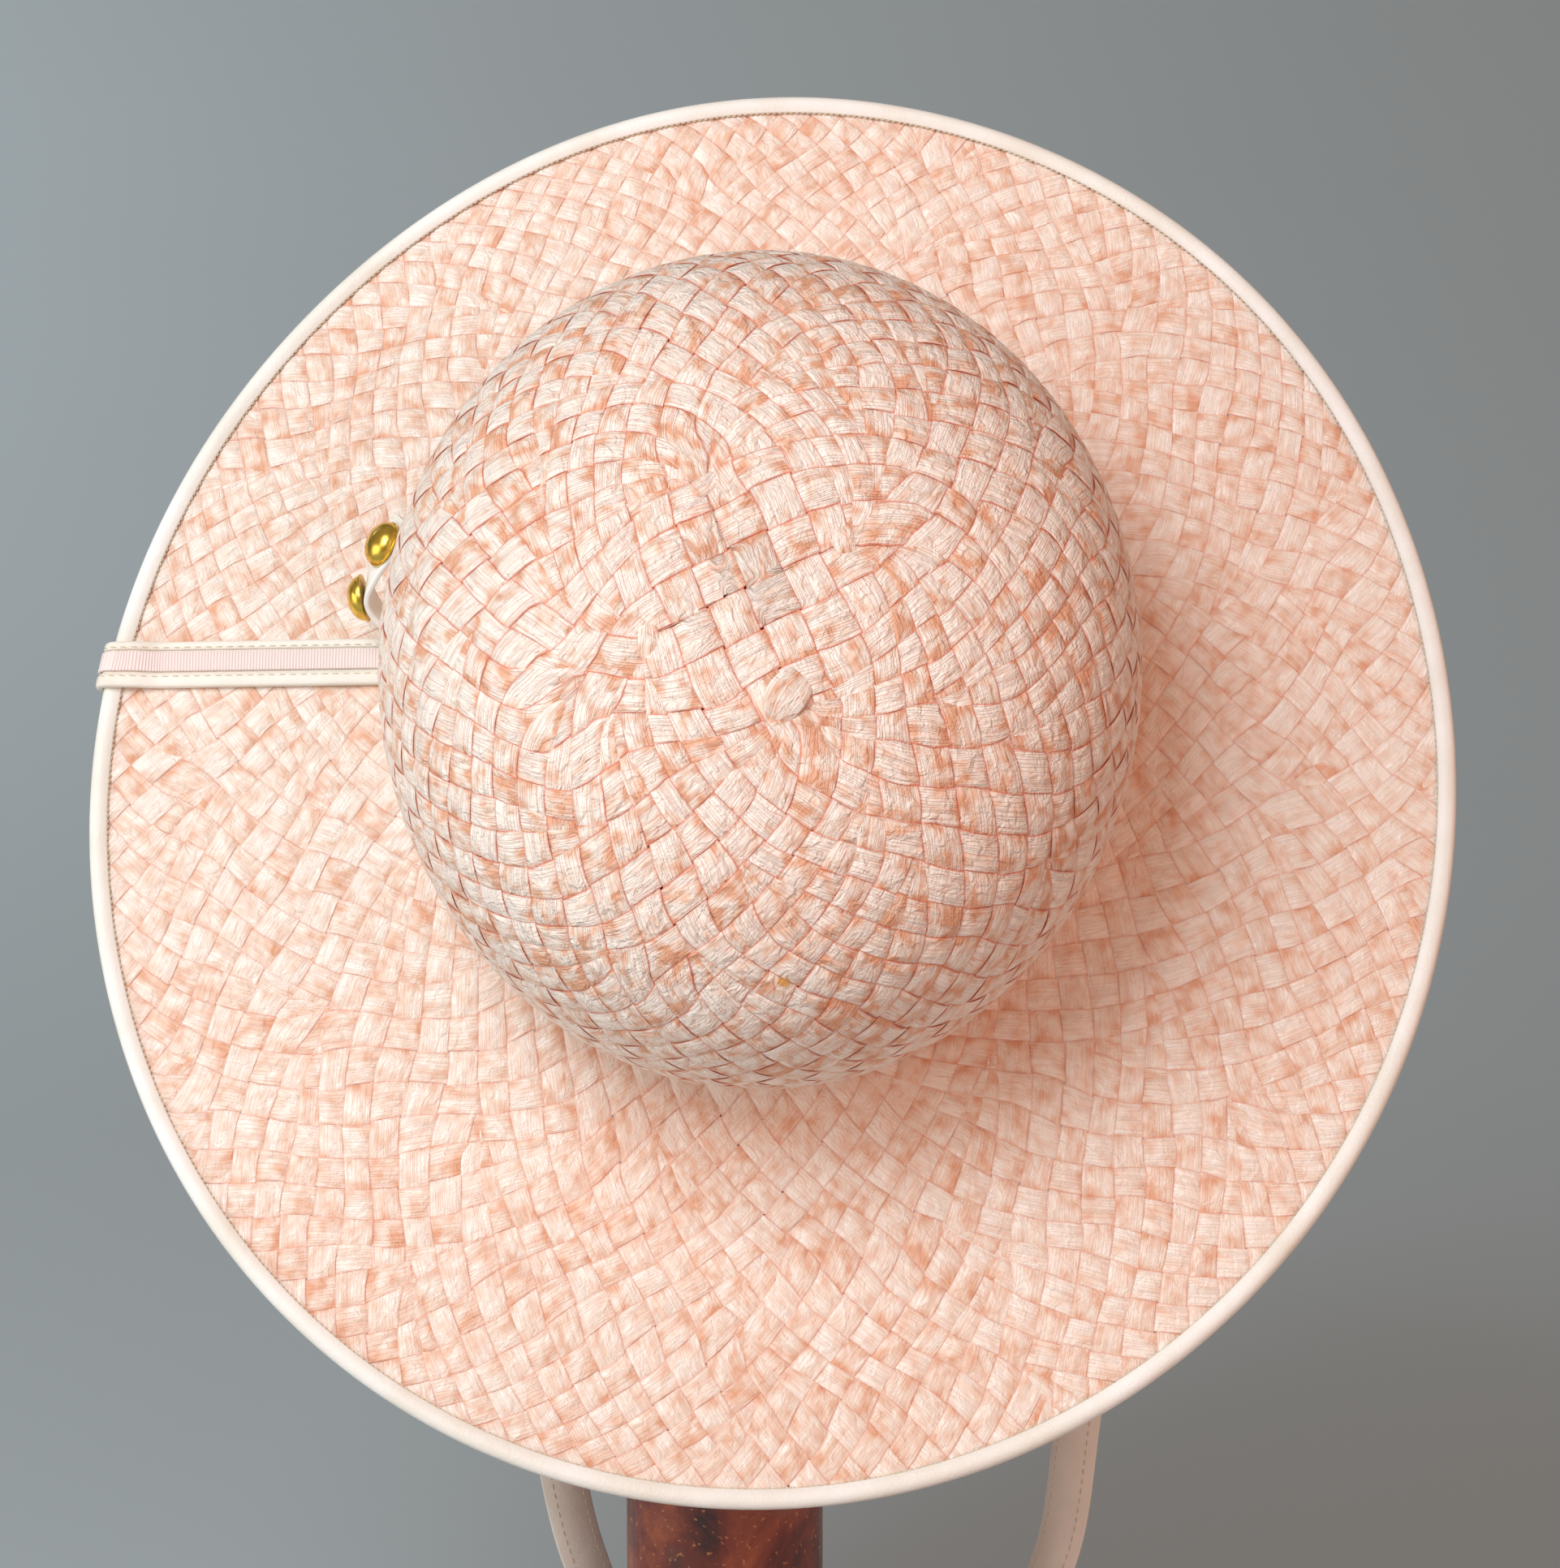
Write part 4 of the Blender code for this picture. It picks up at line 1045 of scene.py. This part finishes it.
def straw_material(name, colours, relief_depth, painted_glow, contrast):
    """Dyed and varnished raffia strip, pressed flat and plaited.

    It is a pale fibre with a satin skin: fine ridges and fold lines run lengthwise, rows of small
    embossed beads lie between pearly patches, and each crossing has its own tone. Painted glow and
    shade: thin edges, the dips beside them and the creases are tinted orange in place of light let
    through and bounced there, the tone deepens where a strip dips under, and bead tops are painted a
    lighter tone as a painted highlight. Patterns count in millimetres across and along the strip."""
    material, tree, shader = new_material(name)
    uv = add_node(tree, "UVMap", {"uv_map": "strip"}).outputs[0]
    made = {}
    for key in ("tone", "dip", "rim"):
        made[key] = add_node(tree, "Attribute", {"attribute_name": key}).outputs["Fac"]
    for key, across, along, detail, distortion in (
            # Fibre ridges every 0.7 mm, and folds 1.6 mm apart that run on for 45 mm
            ("fibre", 1.5, 0.06, 1.0, 0.0),
            ("fold", 0.62, 0.022, 1.0, 0.0),
            # Patches of beads of 6 to 9 mm, dents of 3 mm, and pearly and dull patches of 4 to 5 mm
            ("bead_patch", 0.16, 0.11, 1.0, 0.0),
            ("crumple", 0.36, 0.30, 2.0, 0.6),
            ("blotch", 0.24, 0.20, 1.0, 0.0)):
        way = add_node(tree, "Mapping", {"Scale": (across, along, 1.0)}, {0: uv}).outputs[0]
        made[key] = add_node(tree, "TexNoise", {"noise_dimensions": "2D", "Scale": 1.0, "Detail": detail,
                                                "Distortion": distortion}, {"Vector": way}).outputs["Fac"]
    made["fold"] = add_node(tree, "Math", {"operation": "PINGPONG", 1: 0.08}, {0: made["fold"]}).outputs[0]
    # Embossed beads 0.95 mm apart
    made["bead"] = add_node(
        tree, "TexVoronoi", {"voronoi_dimensions": "2D", "Scale": 1.05, "Randomness": 0.5},
        {"Vector": uv}).outputs["Distance"]
    for key, source, easing, low, high, to_low, to_high in (
            ("crease", "fold", "LINEAR", 0.0, 0.018, 1.0, 0.0),
            ("bead", "bead", "SMOOTHSTEP", 0.10, 0.46, 1.0, 0.0),
            ("bead_patch", "bead_patch", "LINEAR", 0.44, 0.52, 0.0, 1.0),
            # Painted glow and shade: orange painted into the dips, the rims and the creases, standing in for
            # light let through and bounced there
            ("low", "dip", "LINEAR", 0.15, -0.85, 0.0, 0.8 * painted_glow),
            ("edge", "rim", "LINEAR", 0.90, 1.0, 0.0, painted_glow),
            ("split", "crease", "LINEAR", 0.2, 1.0, 0.0, 0.5 * painted_glow),
            ("satin", "blotch", "LINEAR", 0.35, 0.7, 0.34, 0.56)):
        made[key] = add_node(tree, "MapRange", {"interpolation_type": easing, 1: low, 2: high, 3: to_low,
                                                4: to_high}, {0: made[source]}).outputs[0]
    for key, operation, first, second in (("beads", "MULTIPLY", "bead", "bead_patch"),
                                          ("warm", "MAXIMUM", "low", "edge"),
                                          ("warm", "MAXIMUM", "warm", "split")):
        made[key] = add_node(tree, "Math", {"operation": operation},
                             {0: made[first], 1: made[second]}).outputs[0]
    place = add_node(tree, "TexCoord").outputs["Object"]
    stain_at = to_world(woven_surface(np.array([STAIN_PLACE])))[0]
    made["away"] = add_node(tree, "VectorMath", {"operation": "DISTANCE", 1: stain_at},
                            {0: place}).outputs["Value"]
    # Sums: each next one is the last, or the named start, plus a share of one more pattern
    for key, start, parts in (
            ("height", None, (("beads", 0.55), ("fibre", 0.4), ("crease", -0.7), ("crumple", 7.0))),
            # Painted shade and highlight: the tone also holds the families' painted sheen, it deepens where a
            # strip dips under, and bead tops are painted lighter
            ("patchy", "blotch", (("tone", 0.32), ("fibre", 0.07), ("beads", -0.07), ("dip", -0.13))),
            ("ragged", "away", (("crumple", -STAIN_RAGGED),))):
        total = made.get(start)
        for part, share in parts:
            total = add_node(tree, "Math", {"operation": "MULTIPLY_ADD", 1: share, 2: 0.0},
                             {0: made[part], **({2: total} if total else {})}).outputs[0]
        made[key] = total
    bump = add_node(tree, "Bump", {"Strength": 1.0, "Distance": relief_depth}, {"Height": made["height"]})
    tree.links.new(bump.outputs[0], shader.inputs["Normal"])
    patchy = add_node(
        tree, "Math", {"operation": "MULTIPLY_ADD", 1: contrast, 2: MIDDLE_TONE * (1 - contrast)},
        {0: made["patchy"]}).outputs[0]
    ramp = add_node(tree, "ValToRGB", links={0: patchy}, stops=(
        (0.45, linear(colours.straw_light)), (0.68, linear(colours.straw_middle)),
        (0.92, linear(colours.straw_deep))))
    # Painted glow and shade: the warm mask mixes the orange glow colour over the straw's colour
    tint = add_node(tree, "Mix", {"data_type": "RGBA", 7: linear(colours.straw_painted_glow)},
                    {0: made["warm"], 6: ramp.outputs[0]})
    stain = add_node(
        tree, "MapRange", {1: -STAIN_SOFTNESS / 2, 2: STAIN_REACH - STAIN_SOFTNESS, 3: 0.9, 4: 0.0},
        {0: made["ragged"]}).outputs[0]
    tint = add_node(tree, "Mix", {"data_type": "RGBA", 7: linear(colours.stain)},
                    {0: stain, 6: tint.outputs[2]})
    tree.links.new(tint.outputs[2], shader.inputs["Base Color"])
    tree.links.new(made["satin"], shader.inputs["Roughness"])
    return material


def leather_material(name, colour, shade, roughness):
    """Cream smooth leather, split thin and rolled: a fine pore grain, faint creases and a soft satin skin.

    Pores lie 0.7 mm apart, creases 4 mm and the worn patches 22 mm."""
    material, tree, shader = new_material(name, Roughness=roughness)
    place = add_node(tree, "TexCoord").outputs["Object"]
    pore = add_node(tree, "TexVoronoi", {"Scale": 1400.0}, {"Vector": place}).outputs["Distance"]
    crease = add_node(tree, "TexNoise", {"Scale": 260.0, "Detail": 4.0, "Distortion": 0.4},
                      {"Vector": place}).outputs["Fac"]
    height = add_node(tree, "Math", {"operation": "MULTIPLY_ADD", 1: 3.0},
                      {0: crease, 2: pore}).outputs[0]
    bump = add_node(tree, "Bump", {"Strength": 0.5, "Distance": 0.00008}, {"Height": height})
    tree.links.new(bump.outputs[0], shader.inputs["Normal"])
    worn = add_node(tree, "TexNoise", {"Scale": 45.0, "Detail": 3.0}, {"Vector": place}).outputs["Fac"]
    ramp = add_node(tree, "ValToRGB", links={0: worn}, stops=(
        (0.35, linear(colour)), (0.75, linear(shade))))
    tree.links.new(ramp.outputs[0], shader.inputs["Base Color"])
    return material


def ribbon_material(name, colours):
    """Grosgrain ribbon of rayon: ribs across it that catch the light one by one, and a matte shine.

    The ribs lie 0.8 mm apart and its threads 0.25 mm. Painted shade: the colour is darker between the ribs."""
    material, tree, shader = new_material(name, Roughness=0.55, Sheen_Weight=0.35)
    uv = add_node(tree, "UVMap", {"uv_map": "strip"}).outputs[0]
    split = add_node(tree, "SeparateXYZ", links={0: uv})
    turn = add_node(tree, "Math", {"operation": "MULTIPLY", 1: math.tau / RIB_PITCH}, {0: split.outputs[1]})
    rib = add_node(tree, "Math", {"operation": "SINE"}, {0: turn.outputs[0]}).outputs[0]
    thread = add_node(tree, "TexNoise", {"noise_dimensions": "2D", "Scale": 4.0, "Detail": 1.0},
                      {"Vector": uv}).outputs["Fac"]
    height = add_node(tree, "Math", {"operation": "MULTIPLY_ADD", 1: 0.6}, {0: thread, 2: rib}).outputs[0]
    bump = add_node(tree, "Bump", {"Strength": 0.8, "Distance": 0.0001}, {"Height": height})
    tree.links.new(bump.outputs[0], shader.inputs["Normal"])
    # Painted shade: the colour darkens between the ribs, following their sine
    share = add_node(tree, "MapRange", {1: -1.0, 2: 1.0, 3: 0.0, 4: 1.0}, {0: rib}).outputs[0]
    tint = add_node(tree, "Mix", {"data_type": "RGBA", 6: linear(colours.ribbon_painted_shade),
                                  7: linear(colours.ribbon)}, {0: share})
    tree.links.new(tint.outputs[2], shader.inputs["Base Color"])
    return material


def brass_material(name, colours):
    """Polished brass with a gold wash: a yellow mirror with faint tarnish and rubbing clouds of 2 mm."""
    material, tree, shader = new_material(name, Metallic=1.0)
    place = add_node(tree, "TexCoord").outputs["Object"]
    cloud = add_node(tree, "TexNoise", {"Scale": 420.0, "Detail": 3.0}, {"Vector": place}).outputs["Fac"]
    ramp = add_node(tree, "ValToRGB", links={0: cloud}, stops=(
        (0.3, linear(colours.gold)), (0.8, linear(colours.gold_dark))))
    tree.links.new(ramp.outputs[0], shader.inputs["Base Color"])
    rub = add_node(tree, "MapRange", {1: 0.3, 2: 0.8, 3: 0.20, 4: 0.36}, {0: cloud}).outputs[0]
    tree.links.new(rub, shader.inputs["Roughness"])
    return material


def thread_material(name, colours):
    """Tan waxed polyester sewing thread, with plies 0.4 mm apart."""
    material, tree, shader = new_material(name, Roughness=0.6)
    place = add_node(tree, "TexCoord").outputs["Object"]
    twist = add_node(tree, "TexNoise", {"Scale": 2500.0}, {"Vector": place}).outputs["Fac"]
    ramp = add_node(tree, "ValToRGB", links={0: twist}, stops=(
        (0.0, linear(colours.thread)), (1.0, linear(colours.thread_shade))))
    tree.links.new(ramp.outputs[0], shader.inputs["Base Color"])
    return material


def rusted_steel_material(name, colours):
    """Mild steel tube, rusted and sealed under clear lacquer.

    Rust gives red-brown and orange clouds of 24 mm with black pits, grey scale in patches of 36 mm and
    bright flecks of 1.4 mm. The lacquer gives them an even wet gloss with a fine orange-peel."""
    material, tree, shader = new_material(name, Roughness=0.38, Coat_Weight=0.45, Coat_Roughness=0.16)
    place = add_node(tree, "TexCoord").outputs["Object"]
    cloud = add_node(tree, "TexNoise", {"Scale": 42.0, "Detail": 6.0, "Roughness": 0.62, "Distortion": 0.5},
                     {"Vector": place}).outputs["Fac"]
    ramp = add_node(tree, "ValToRGB", links={0: cloud}, stops=(
        (0.35, linear(colours.rust_dark)), (0.50, linear(colours.rust_red)),
        (0.64, linear(colours.rust_orange))))
    patch = add_node(tree, "TexNoise", {"Scale": 28.0, "Detail": 4.0, "Distortion": 1.0},
                     {"Vector": place}).outputs["Fac"]
    fleck = add_node(tree, "TexNoise", {"Scale": 700.0, "Detail": 1.0}, {"Vector": place}).outputs["Fac"]
    tint = ramp.outputs[0]
    for pattern, low, high, most, colour in ((patch, 0.58, 0.70, 0.45, colours.rust_grey),
                                             (fleck, 0.66, 0.72, 0.9, colours.rust_fleck)):
        share = add_node(tree, "MapRange", {1: low, 2: high, 3: 0.0, 4: most}, {0: pattern}).outputs[0]
        tint = add_node(tree, "Mix", {"data_type": "RGBA", 7: linear(colour)},
                        {0: share, 6: tint}).outputs[2]
    tree.links.new(tint, shader.inputs["Base Color"])
    height = add_node(tree, "Math", {"operation": "MULTIPLY_ADD", 1: 0.4}, {0: fleck, 2: cloud}).outputs[0]
    bump = add_node(tree, "Bump", {"Strength": 0.5, "Distance": 0.0004}, {"Height": height})
    tree.links.new(bump.outputs[0], shader.inputs["Normal"])
    return material


# Settings, one operator for each piece or group, and the panel that lists them

class HatWeaveSettings(bpy.types.PropertyGroup):
    """Sizes of the plait."""

    strip_width: FloatProperty(
        name="Strip width", description="Width of a straw strip where the plait is even",
        default=0.0080, unit="LENGTH", precision=4)
    crown_thickness: FloatProperty(
        name="Crown strip thickness", description="Thickness of a folded straw strip on the crown",
        default=0.00076, unit="LENGTH", precision=5)
    brim_thickness: FloatProperty(
        name="Brim strip thickness", description="Thickness of a pressed straw strip on the brim",
        default=0.00048, unit="LENGTH", precision=5)
    crown_relief: FloatProperty(
        name="Crown relief", description="How far a strip rides over and under on the crown",
        default=0.00052, unit="LENGTH", precision=5)
    brim_relief: FloatProperty(
        name="Brim relief", description="How far a strip rides over and under on the pressed brim",
        default=0.00040, unit="LENGTH", precision=5)
    corner_reach: FloatProperty(
        name="Corner reach", description="Distance from the crown's top to the middle patch's corners",
        default=0.0275, unit="LENGTH", precision=4)
    patch_turn_degrees: FloatProperty(
        name="Patch turn", description="Turn of the middle patch's first corner from the hat's x, in degrees",
        default=24.0)


class HatTrimSettings(bpy.types.PropertyGroup):
    """Sizes of the seams on the trim."""

    stitch_pitch: FloatProperty(
        name="Stitch pitch", description="Distance between stitches", default=0.0028,
        unit="LENGTH", precision=4)
    stitch_length: FloatProperty(
        name="Stitch length", description="Length of the thread that shows", default=0.0019,
        unit="LENGTH", precision=4)
    thread_width: FloatProperty(
        name="Thread width", description="Thickness of the thread", default=0.0004,
        unit="LENGTH", precision=5)


class HatColours(bpy.types.PropertyGroup):
    """Colours of the finishes, as sRGB hex values."""

    straw_light: StringProperty(name="Straw, light", description="Pearly straw", default="#FAEEE2")
    straw_middle: StringProperty(name="Straw, middle", description="Even straw", default="#F4DAC7")
    straw_deep: StringProperty(name="Straw, deep", description="Dull straw", default="#E8AF8D")
    stain: StringProperty(name="Stain", description="Small yellow stain", default="#E0A040")
    # Painted glow and shade: the orange painted on strip edges, dips and creases
    straw_painted_glow: StringProperty(name="Straw, glow", description="Light through edges", default="#DE5A30")
    binding: StringProperty(name="Binding", description="Cream binding", default="#F7F6F1")
    binding_shade: StringProperty(name="Binding shade", description="Cream in creases", default="#E9E4D6")
    strap: StringProperty(name="Strap", description="Cream strap", default="#F7F2E8")
    strap_shade: StringProperty(name="Strap shade", description="Worn cream", default="#EAE2D3")
    ribbon: StringProperty(name="Ribbon", description="Pink ribbon", default="#FBEBE6")
    # Painted shade: the ribbon's colour between its ribs
    ribbon_painted_shade: StringProperty(name="Ribbon shade", description="Between ribs", default="#F7E0DA")
    thread: StringProperty(name="Thread", description="Sewing thread", default="#E6DCC4")
    thread_shade: StringProperty(name="Thread shade", description="Between its plies", default="#CDC09F")
    gold: StringProperty(name="Gold", description="Polished brass", default="#F0CE5E")
    gold_dark: StringProperty(name="Gold, dull", description="Tarnished brass", default="#CFA23A")
    rust_dark: StringProperty(name="Rust, dark", description="Pitted rust", default="#34140C")
    rust_red: StringProperty(name="Rust, red", description="Red rust", default="#7C2F1A")
    rust_orange: StringProperty(name="Rust, orange", description="Orange rust", default="#A9552F")
    rust_grey: StringProperty(name="Rust, scale", description="Grey mill scale", default="#7C6053")
    rust_fleck: StringProperty(name="Rust, fleck", description="Bright flecks", default="#B87A45")
    floor: StringProperty(name="Floor", description="Studio floor", default="#B8C5CA")


class HatStageSettings(bpy.types.PropertyGroup):
    """Where the camera and the lights stand."""

    camera_distance: FloatProperty(
        name="Camera distance", description="From the camera to the hat's middle", default=1.0, unit="LENGTH")
    camera_lift_degrees: FloatProperty(
        name="Camera lift", description="How far the camera looks down, in degrees", default=10.0)
    camera_right: FloatProperty(
        name="Camera right", description="Sideways place of the camera from the hat's middle",
        default=0.00265, unit="LENGTH", precision=5)
    camera_up: FloatProperty(
        name="Camera up", description="Place of the camera up its own picture from the hat's middle",
        default=-0.0170, unit="LENGTH", precision=4)
    lens: FloatProperty(
        name="Lens", description="Focal length in millimetres for a 36 mm picture side", default=88.73)
    key_power: FloatProperty(name="Key power", description="Watts of the light above", default=11.5)
    side_power: FloatProperty(name="Side power", description="Watts of the left light", default=11.0)
    fill_power: FloatProperty(name="Fill power", description="Watts of the right light", default=10.5)
    backdrop_power: FloatProperty(
        name="Backdrop power", description="Watts of the light behind", default=17.0)
    sky_strength: FloatProperty(
        name="Sky strength", description="Strength of the even light", default=0.38)


def settings():
    """The scene's four groups of settings: weave, trim, colours and stage."""
    scene = bpy.context.scene
    return scene.hat_weave, scene.hat_trim, scene.hat_colours, scene.hat_stage


def settle(piece, slot, *nodes):
    """Lets a piece ride with the part and stand for the solids it replaces. The slot is not used."""
    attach(piece, BODY)
    if nodes:
        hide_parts(*nodes)


class HatWeaveStraw(bpy.types.Operator):
    """Weave the crown and brim from two families of straw strips"""

    bl_idname = "sun_hat.weave_straw"
    bl_label = "Weave crown and brim"

    def execute(self, context):
        sizes, _, colours, _ = settings()
        shapes = weave(sizes)
        crown = straw_material("varnished raffia, crown", colours,
                               relief_depth=0.00015, painted_glow=0.85, contrast=1.35)
        brim = straw_material("varnished raffia, brim", colours,
                              relief_depth=0.00008, painted_glow=0.40, contrast=0.75)
        for name, node, material in zip(STRIP_PIECES, ("crown", "crown", "brim", "brim"),
                                        (crown, crown, brim, brim)):
            settle(shapes[name].make(name, material, smooth_angle=60.0), "straw", node)
        settle(corner_folds(sizes).make("corner_folds", crown, smooth_angle=60.0), "straw")
        return {"FINISHED"}


class HatSewBinding(bpy.types.Operator):
    """Roll the cream binding round the brim's edge and sew it"""

    bl_idname = "sun_hat.sew_binding"
    bl_label = "Sew edge binding"

    def execute(self, context):
        _, trim, colours, _ = settings()
        leather = leather_material("split leather, binding", colours.binding, colours.binding_shade,
                                   roughness=0.42)
        path, out, up = binding_rings()
        shape = PieceShape()
        add_swept(shape, path, out, up, binding_outline(), closed=True)
        settle(shape.make("edge_binding", leather, smooth_angle=50.0), "cream_binding", "brim_binding")
        seam = PieceShape()
        for side in (1, -1):
            stitches(path, out, up, -BINDING_DEPTH - BINDING_STITCH_GAP, side * (STRAW_WALL / 2 + GAP),
                     BINDING_STITCH_PITCH * trim.stitch_pitch, BINDING_STITCH_LENGTH * trim.stitch_length,
                     trim.thread_width, seam)
        thread = thread_material("waxed thread, binding", colours)
        settle(seam.make("binding_stitches", thread), "cream_binding")
        return {"FINISHED"}


class HatSewStraps(bpy.types.Operator):
    """Lay the brim strap and the chin strap, their ribbons and their stitches"""

    bl_idname = "sun_hat.sew_straps"
    bl_label = "Sew straps"

    def execute(self, context):
        _, trim, colours, _ = settings()
        leather = leather_material("split leather, straps", colours.strap, colours.strap_shade, roughness=0.5)
        grosgrain = ribbon_material("rayon grosgrain", colours)
        seam = PieceShape()
        for name, (path, across, up), world in (("brim_strap", brim_strap_path(), False),
                                                ("chin_strap", chin_strap_path(), True)):
            shape = PieceShape()
            add_swept(shape, path, across, up, strap_outline(), world=world)
            settle(shape.make(name + "_leather", leather, smooth_angle=50.0), "cream_strap", name)
            band = PieceShape()
            add_swept(band, path, across, up, ribbon_outline(), world=world)
            settle(band.make(name + "_grosgrain", grosgrain, smooth_angle=50.0), "pink_ribbon",
                   name + "_ribbon")
            for row in STITCH_ROWS:
                for height in (STRAP_EDGE_HEIGHT - STITCH_SINK, BACK_STITCH_HEIGHT):
                    stitches(path, across, up, row, height, trim.stitch_pitch,
                             trim.stitch_length, trim.thread_width, seam, world)
        thread = thread_material("waxed thread, straps", colours)
        settle(seam.make("strap_stitches", thread), "cream_strap")
        return {"FINISHED"}


class HatSetTab(bpy.types.Operator):
    """Bow the side tab and set its two dome studs"""

    bl_idname = "sun_hat.set_tab"
    bl_label = "Set tab and studs"

    def execute(self, context):
        _, _, colours, _ = settings()
        leather = leather_material("split leather, tab", colours.binding, colours.binding_shade,
                                   roughness=0.4)
        path, across, up = tab_path()
        shape = PieceShape()
        add_swept(shape, path, across, up, rounded_outline(TAB_WIDTH / 2, 0.0, TAB_THICKNESS, 0.0006))
        settle(shape.make("bowed_tab", leather, smooth_angle=50.0), "cream_strap", "side_tab")
        brass = brass_material("gold-washed brass", colours)
        for name, share in STUDS:
            dome = PieceShape()
            add_stud(dome, share)
            settle(dome.make(name + "_dome", brass, smooth_angle=40.0), "gold_stud", name)
        return {"FINISHED"}


class HatFinishStand(bpy.types.Operator):
    """Give the post and its foot plate their rusted and lacquered finish"""

    bl_idname = "sun_hat.finish_stand"
    bl_label = "Finish stand"

    def execute(self, context):
        _, _, colours, _ = settings()
        steel = rusted_steel_material("lacquered rusted steel", colours)
        for name in ("stand_post", "stand_base"):
            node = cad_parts[name]
            node.data.materials.clear()
            node.data.materials.append(steel)
        return {"FINISHED"}


class HatBuildStage(bpy.types.Operator):
    """Set out the plain floor, the soft lights and the camera"""

    bl_idname = "sun_hat.build_stage"
    bl_label = "Build stage"

    def execute(self, context):
        _, _, colours, stage = settings()
        make_floor(colours)
        lift = math.radians(stage.camera_lift_degrees)
        look = np.array([0.0, math.cos(lift), -math.sin(lift)])
        above = np.array([0.0, math.sin(lift), math.cos(lift)])
        place = (HAT_CENTRE - look * stage.camera_distance + above * stage.camera_up
                 + np.array([stage.camera_right, 0.0, 0.0]))
        camera = bpy.data.objects.new("camera", bpy.data.cameras.new("camera"))
        camera.location = place
        camera.rotation_euler = (math.pi / 2 - lift, 0.0, 0.0)
        camera.data.lens = stage.lens
        camera.data.sensor_width = 36.0
        bpy.context.collection.objects.link(camera)
        context.scene.camera = camera
        for name, spot, target, size, power, colour in LIGHTS:
            add_light(name, spot, target, size, getattr(stage, power), colour)
        make_sky(stage)
        # The photo's plain response: straw that the key light reaches runs up to white
        context.scene.view_settings.view_transform = "Standard"
        return {"FINISHED"}


def make_floor(colours):
    """Pale floor that curves up into a backdrop far behind: a straight run, a quarter round and a wall.

    It is matte paper with a faint mottle of 0.3 m."""
    turn = np.linspace(-math.pi / 2, 0.0, 17)
    bend = np.column_stack([BACKDROP_START + BACKDROP_RADIUS * np.cos(turn),
                            BACKDROP_RADIUS + BACKDROP_RADIUS * np.sin(turn)])
    profile = np.concatenate([[(-FLOOR_REACH, 0.0)], bend,
                              [(BACKDROP_START + BACKDROP_RADIUS, BACKDROP_TOP)]])
    columns = np.linspace(-FLOOR_REACH, FLOOR_REACH, 3)
    points = np.array([[(x, y, z - FLOOR_DROP) for x in columns] for y, z in profile])
    rows, count = points.shape[:2]
    index = np.arange(rows * count).reshape(rows, count)
    faces = np.stack([index[:-1, :-1], index[:-1, 1:], index[1:, 1:], index[1:, :-1]], axis=-1).reshape(-1, 4)
    shape = PieceShape()
    shape.add(points, faces)
    material, tree, shader = new_material("matte paper floor", Roughness=0.9)
    place = add_node(tree, "TexCoord").outputs["Object"]
    mottle = add_node(tree, "TexNoise", {"Scale": 3.0, "Detail": 2.0}, {"Vector": place}).outputs["Fac"]
    base = linear(colours.floor)
    dull = (*[FLOOR_MOTTLE * channel for channel in base[:3]], 1.0)
    ramp = add_node(tree, "ValToRGB", links={0: mottle}, stops=((0.0, base), (1.0, dull)))
    tree.links.new(ramp.outputs[0], shader.inputs["Base Color"])
    return shape.make("floor", material)


def add_light(name, place, target, size, power, colour):
    """A square soft light that faces its target."""
    data = bpy.data.lights.new(name, "AREA")
    data.size = size
    data.energy = power
    data.color = linear(colour)[:3]
    light = bpy.data.objects.new(name, data)
    light.location = place
    aim = np.array(target) - np.array(place)
    light.rotation_euler = (math.atan2(math.hypot(aim[0], aim[1]), -aim[2]), 0.0, math.atan2(-aim[0], aim[1]))
    light.visible_camera = False
    bpy.context.collection.objects.link(light)


def make_sky(stage):
    """Pale warm light from all round."""
    world = bpy.data.worlds.new("studio")
    world.use_nodes = True
    ground = world.node_tree.nodes["Background"]
    ground.inputs[0].default_value = linear(SKY_COLOUR)
    ground.inputs[1].default_value = stage.sky_strength
    bpy.context.scene.world = world


class HatPanel(bpy.types.Panel):
    """The steps of the hat in the 3D view's sidebar"""

    bl_idname = "VIEW3D_PT_sun_hat"
    bl_label = "Sun hat"
    bl_space_type = "VIEW_3D"
    bl_region_type = "UI"
    bl_category = "Sun Hat"

    def draw(self, context):
        for operator in OPERATORS:
            self.layout.operator(operator.bl_idname)
        for group in settings():
            box = self.layout.box()
            for name in group.__annotations__:
                box.prop(group, name)


GROUPS = {"hat_weave": HatWeaveSettings, "hat_trim": HatTrimSettings, "hat_colours": HatColours,
          "hat_stage": HatStageSettings}
OPERATORS = (HatWeaveStraw, HatSewBinding, HatSewStraps, HatSetTab, HatFinishStand, HatBuildStage)


def register():
    """Registers the settings, operators and panel."""
    for cls in (*GROUPS.values(), *OPERATORS, HatPanel):
        bpy.utils.register_class(cls)
    for name, group in GROUPS.items():
        setattr(bpy.types.Scene, name, PointerProperty(type=group))


def unregister():
    """Takes the settings, operators and panel out again."""
    for name in GROUPS:
        delattr(bpy.types.Scene, name)
    for cls in reversed((*GROUPS.values(), *OPERATORS, HatPanel)):
        bpy.utils.unregister_class(cls)


def main():
    """Builds every piece in order."""
    register()
    for operator in OPERATORS:
        group, name = operator.bl_idname.split(".")
        getattr(getattr(bpy.ops, group), name)()


if __name__ == "__main__":
    main()
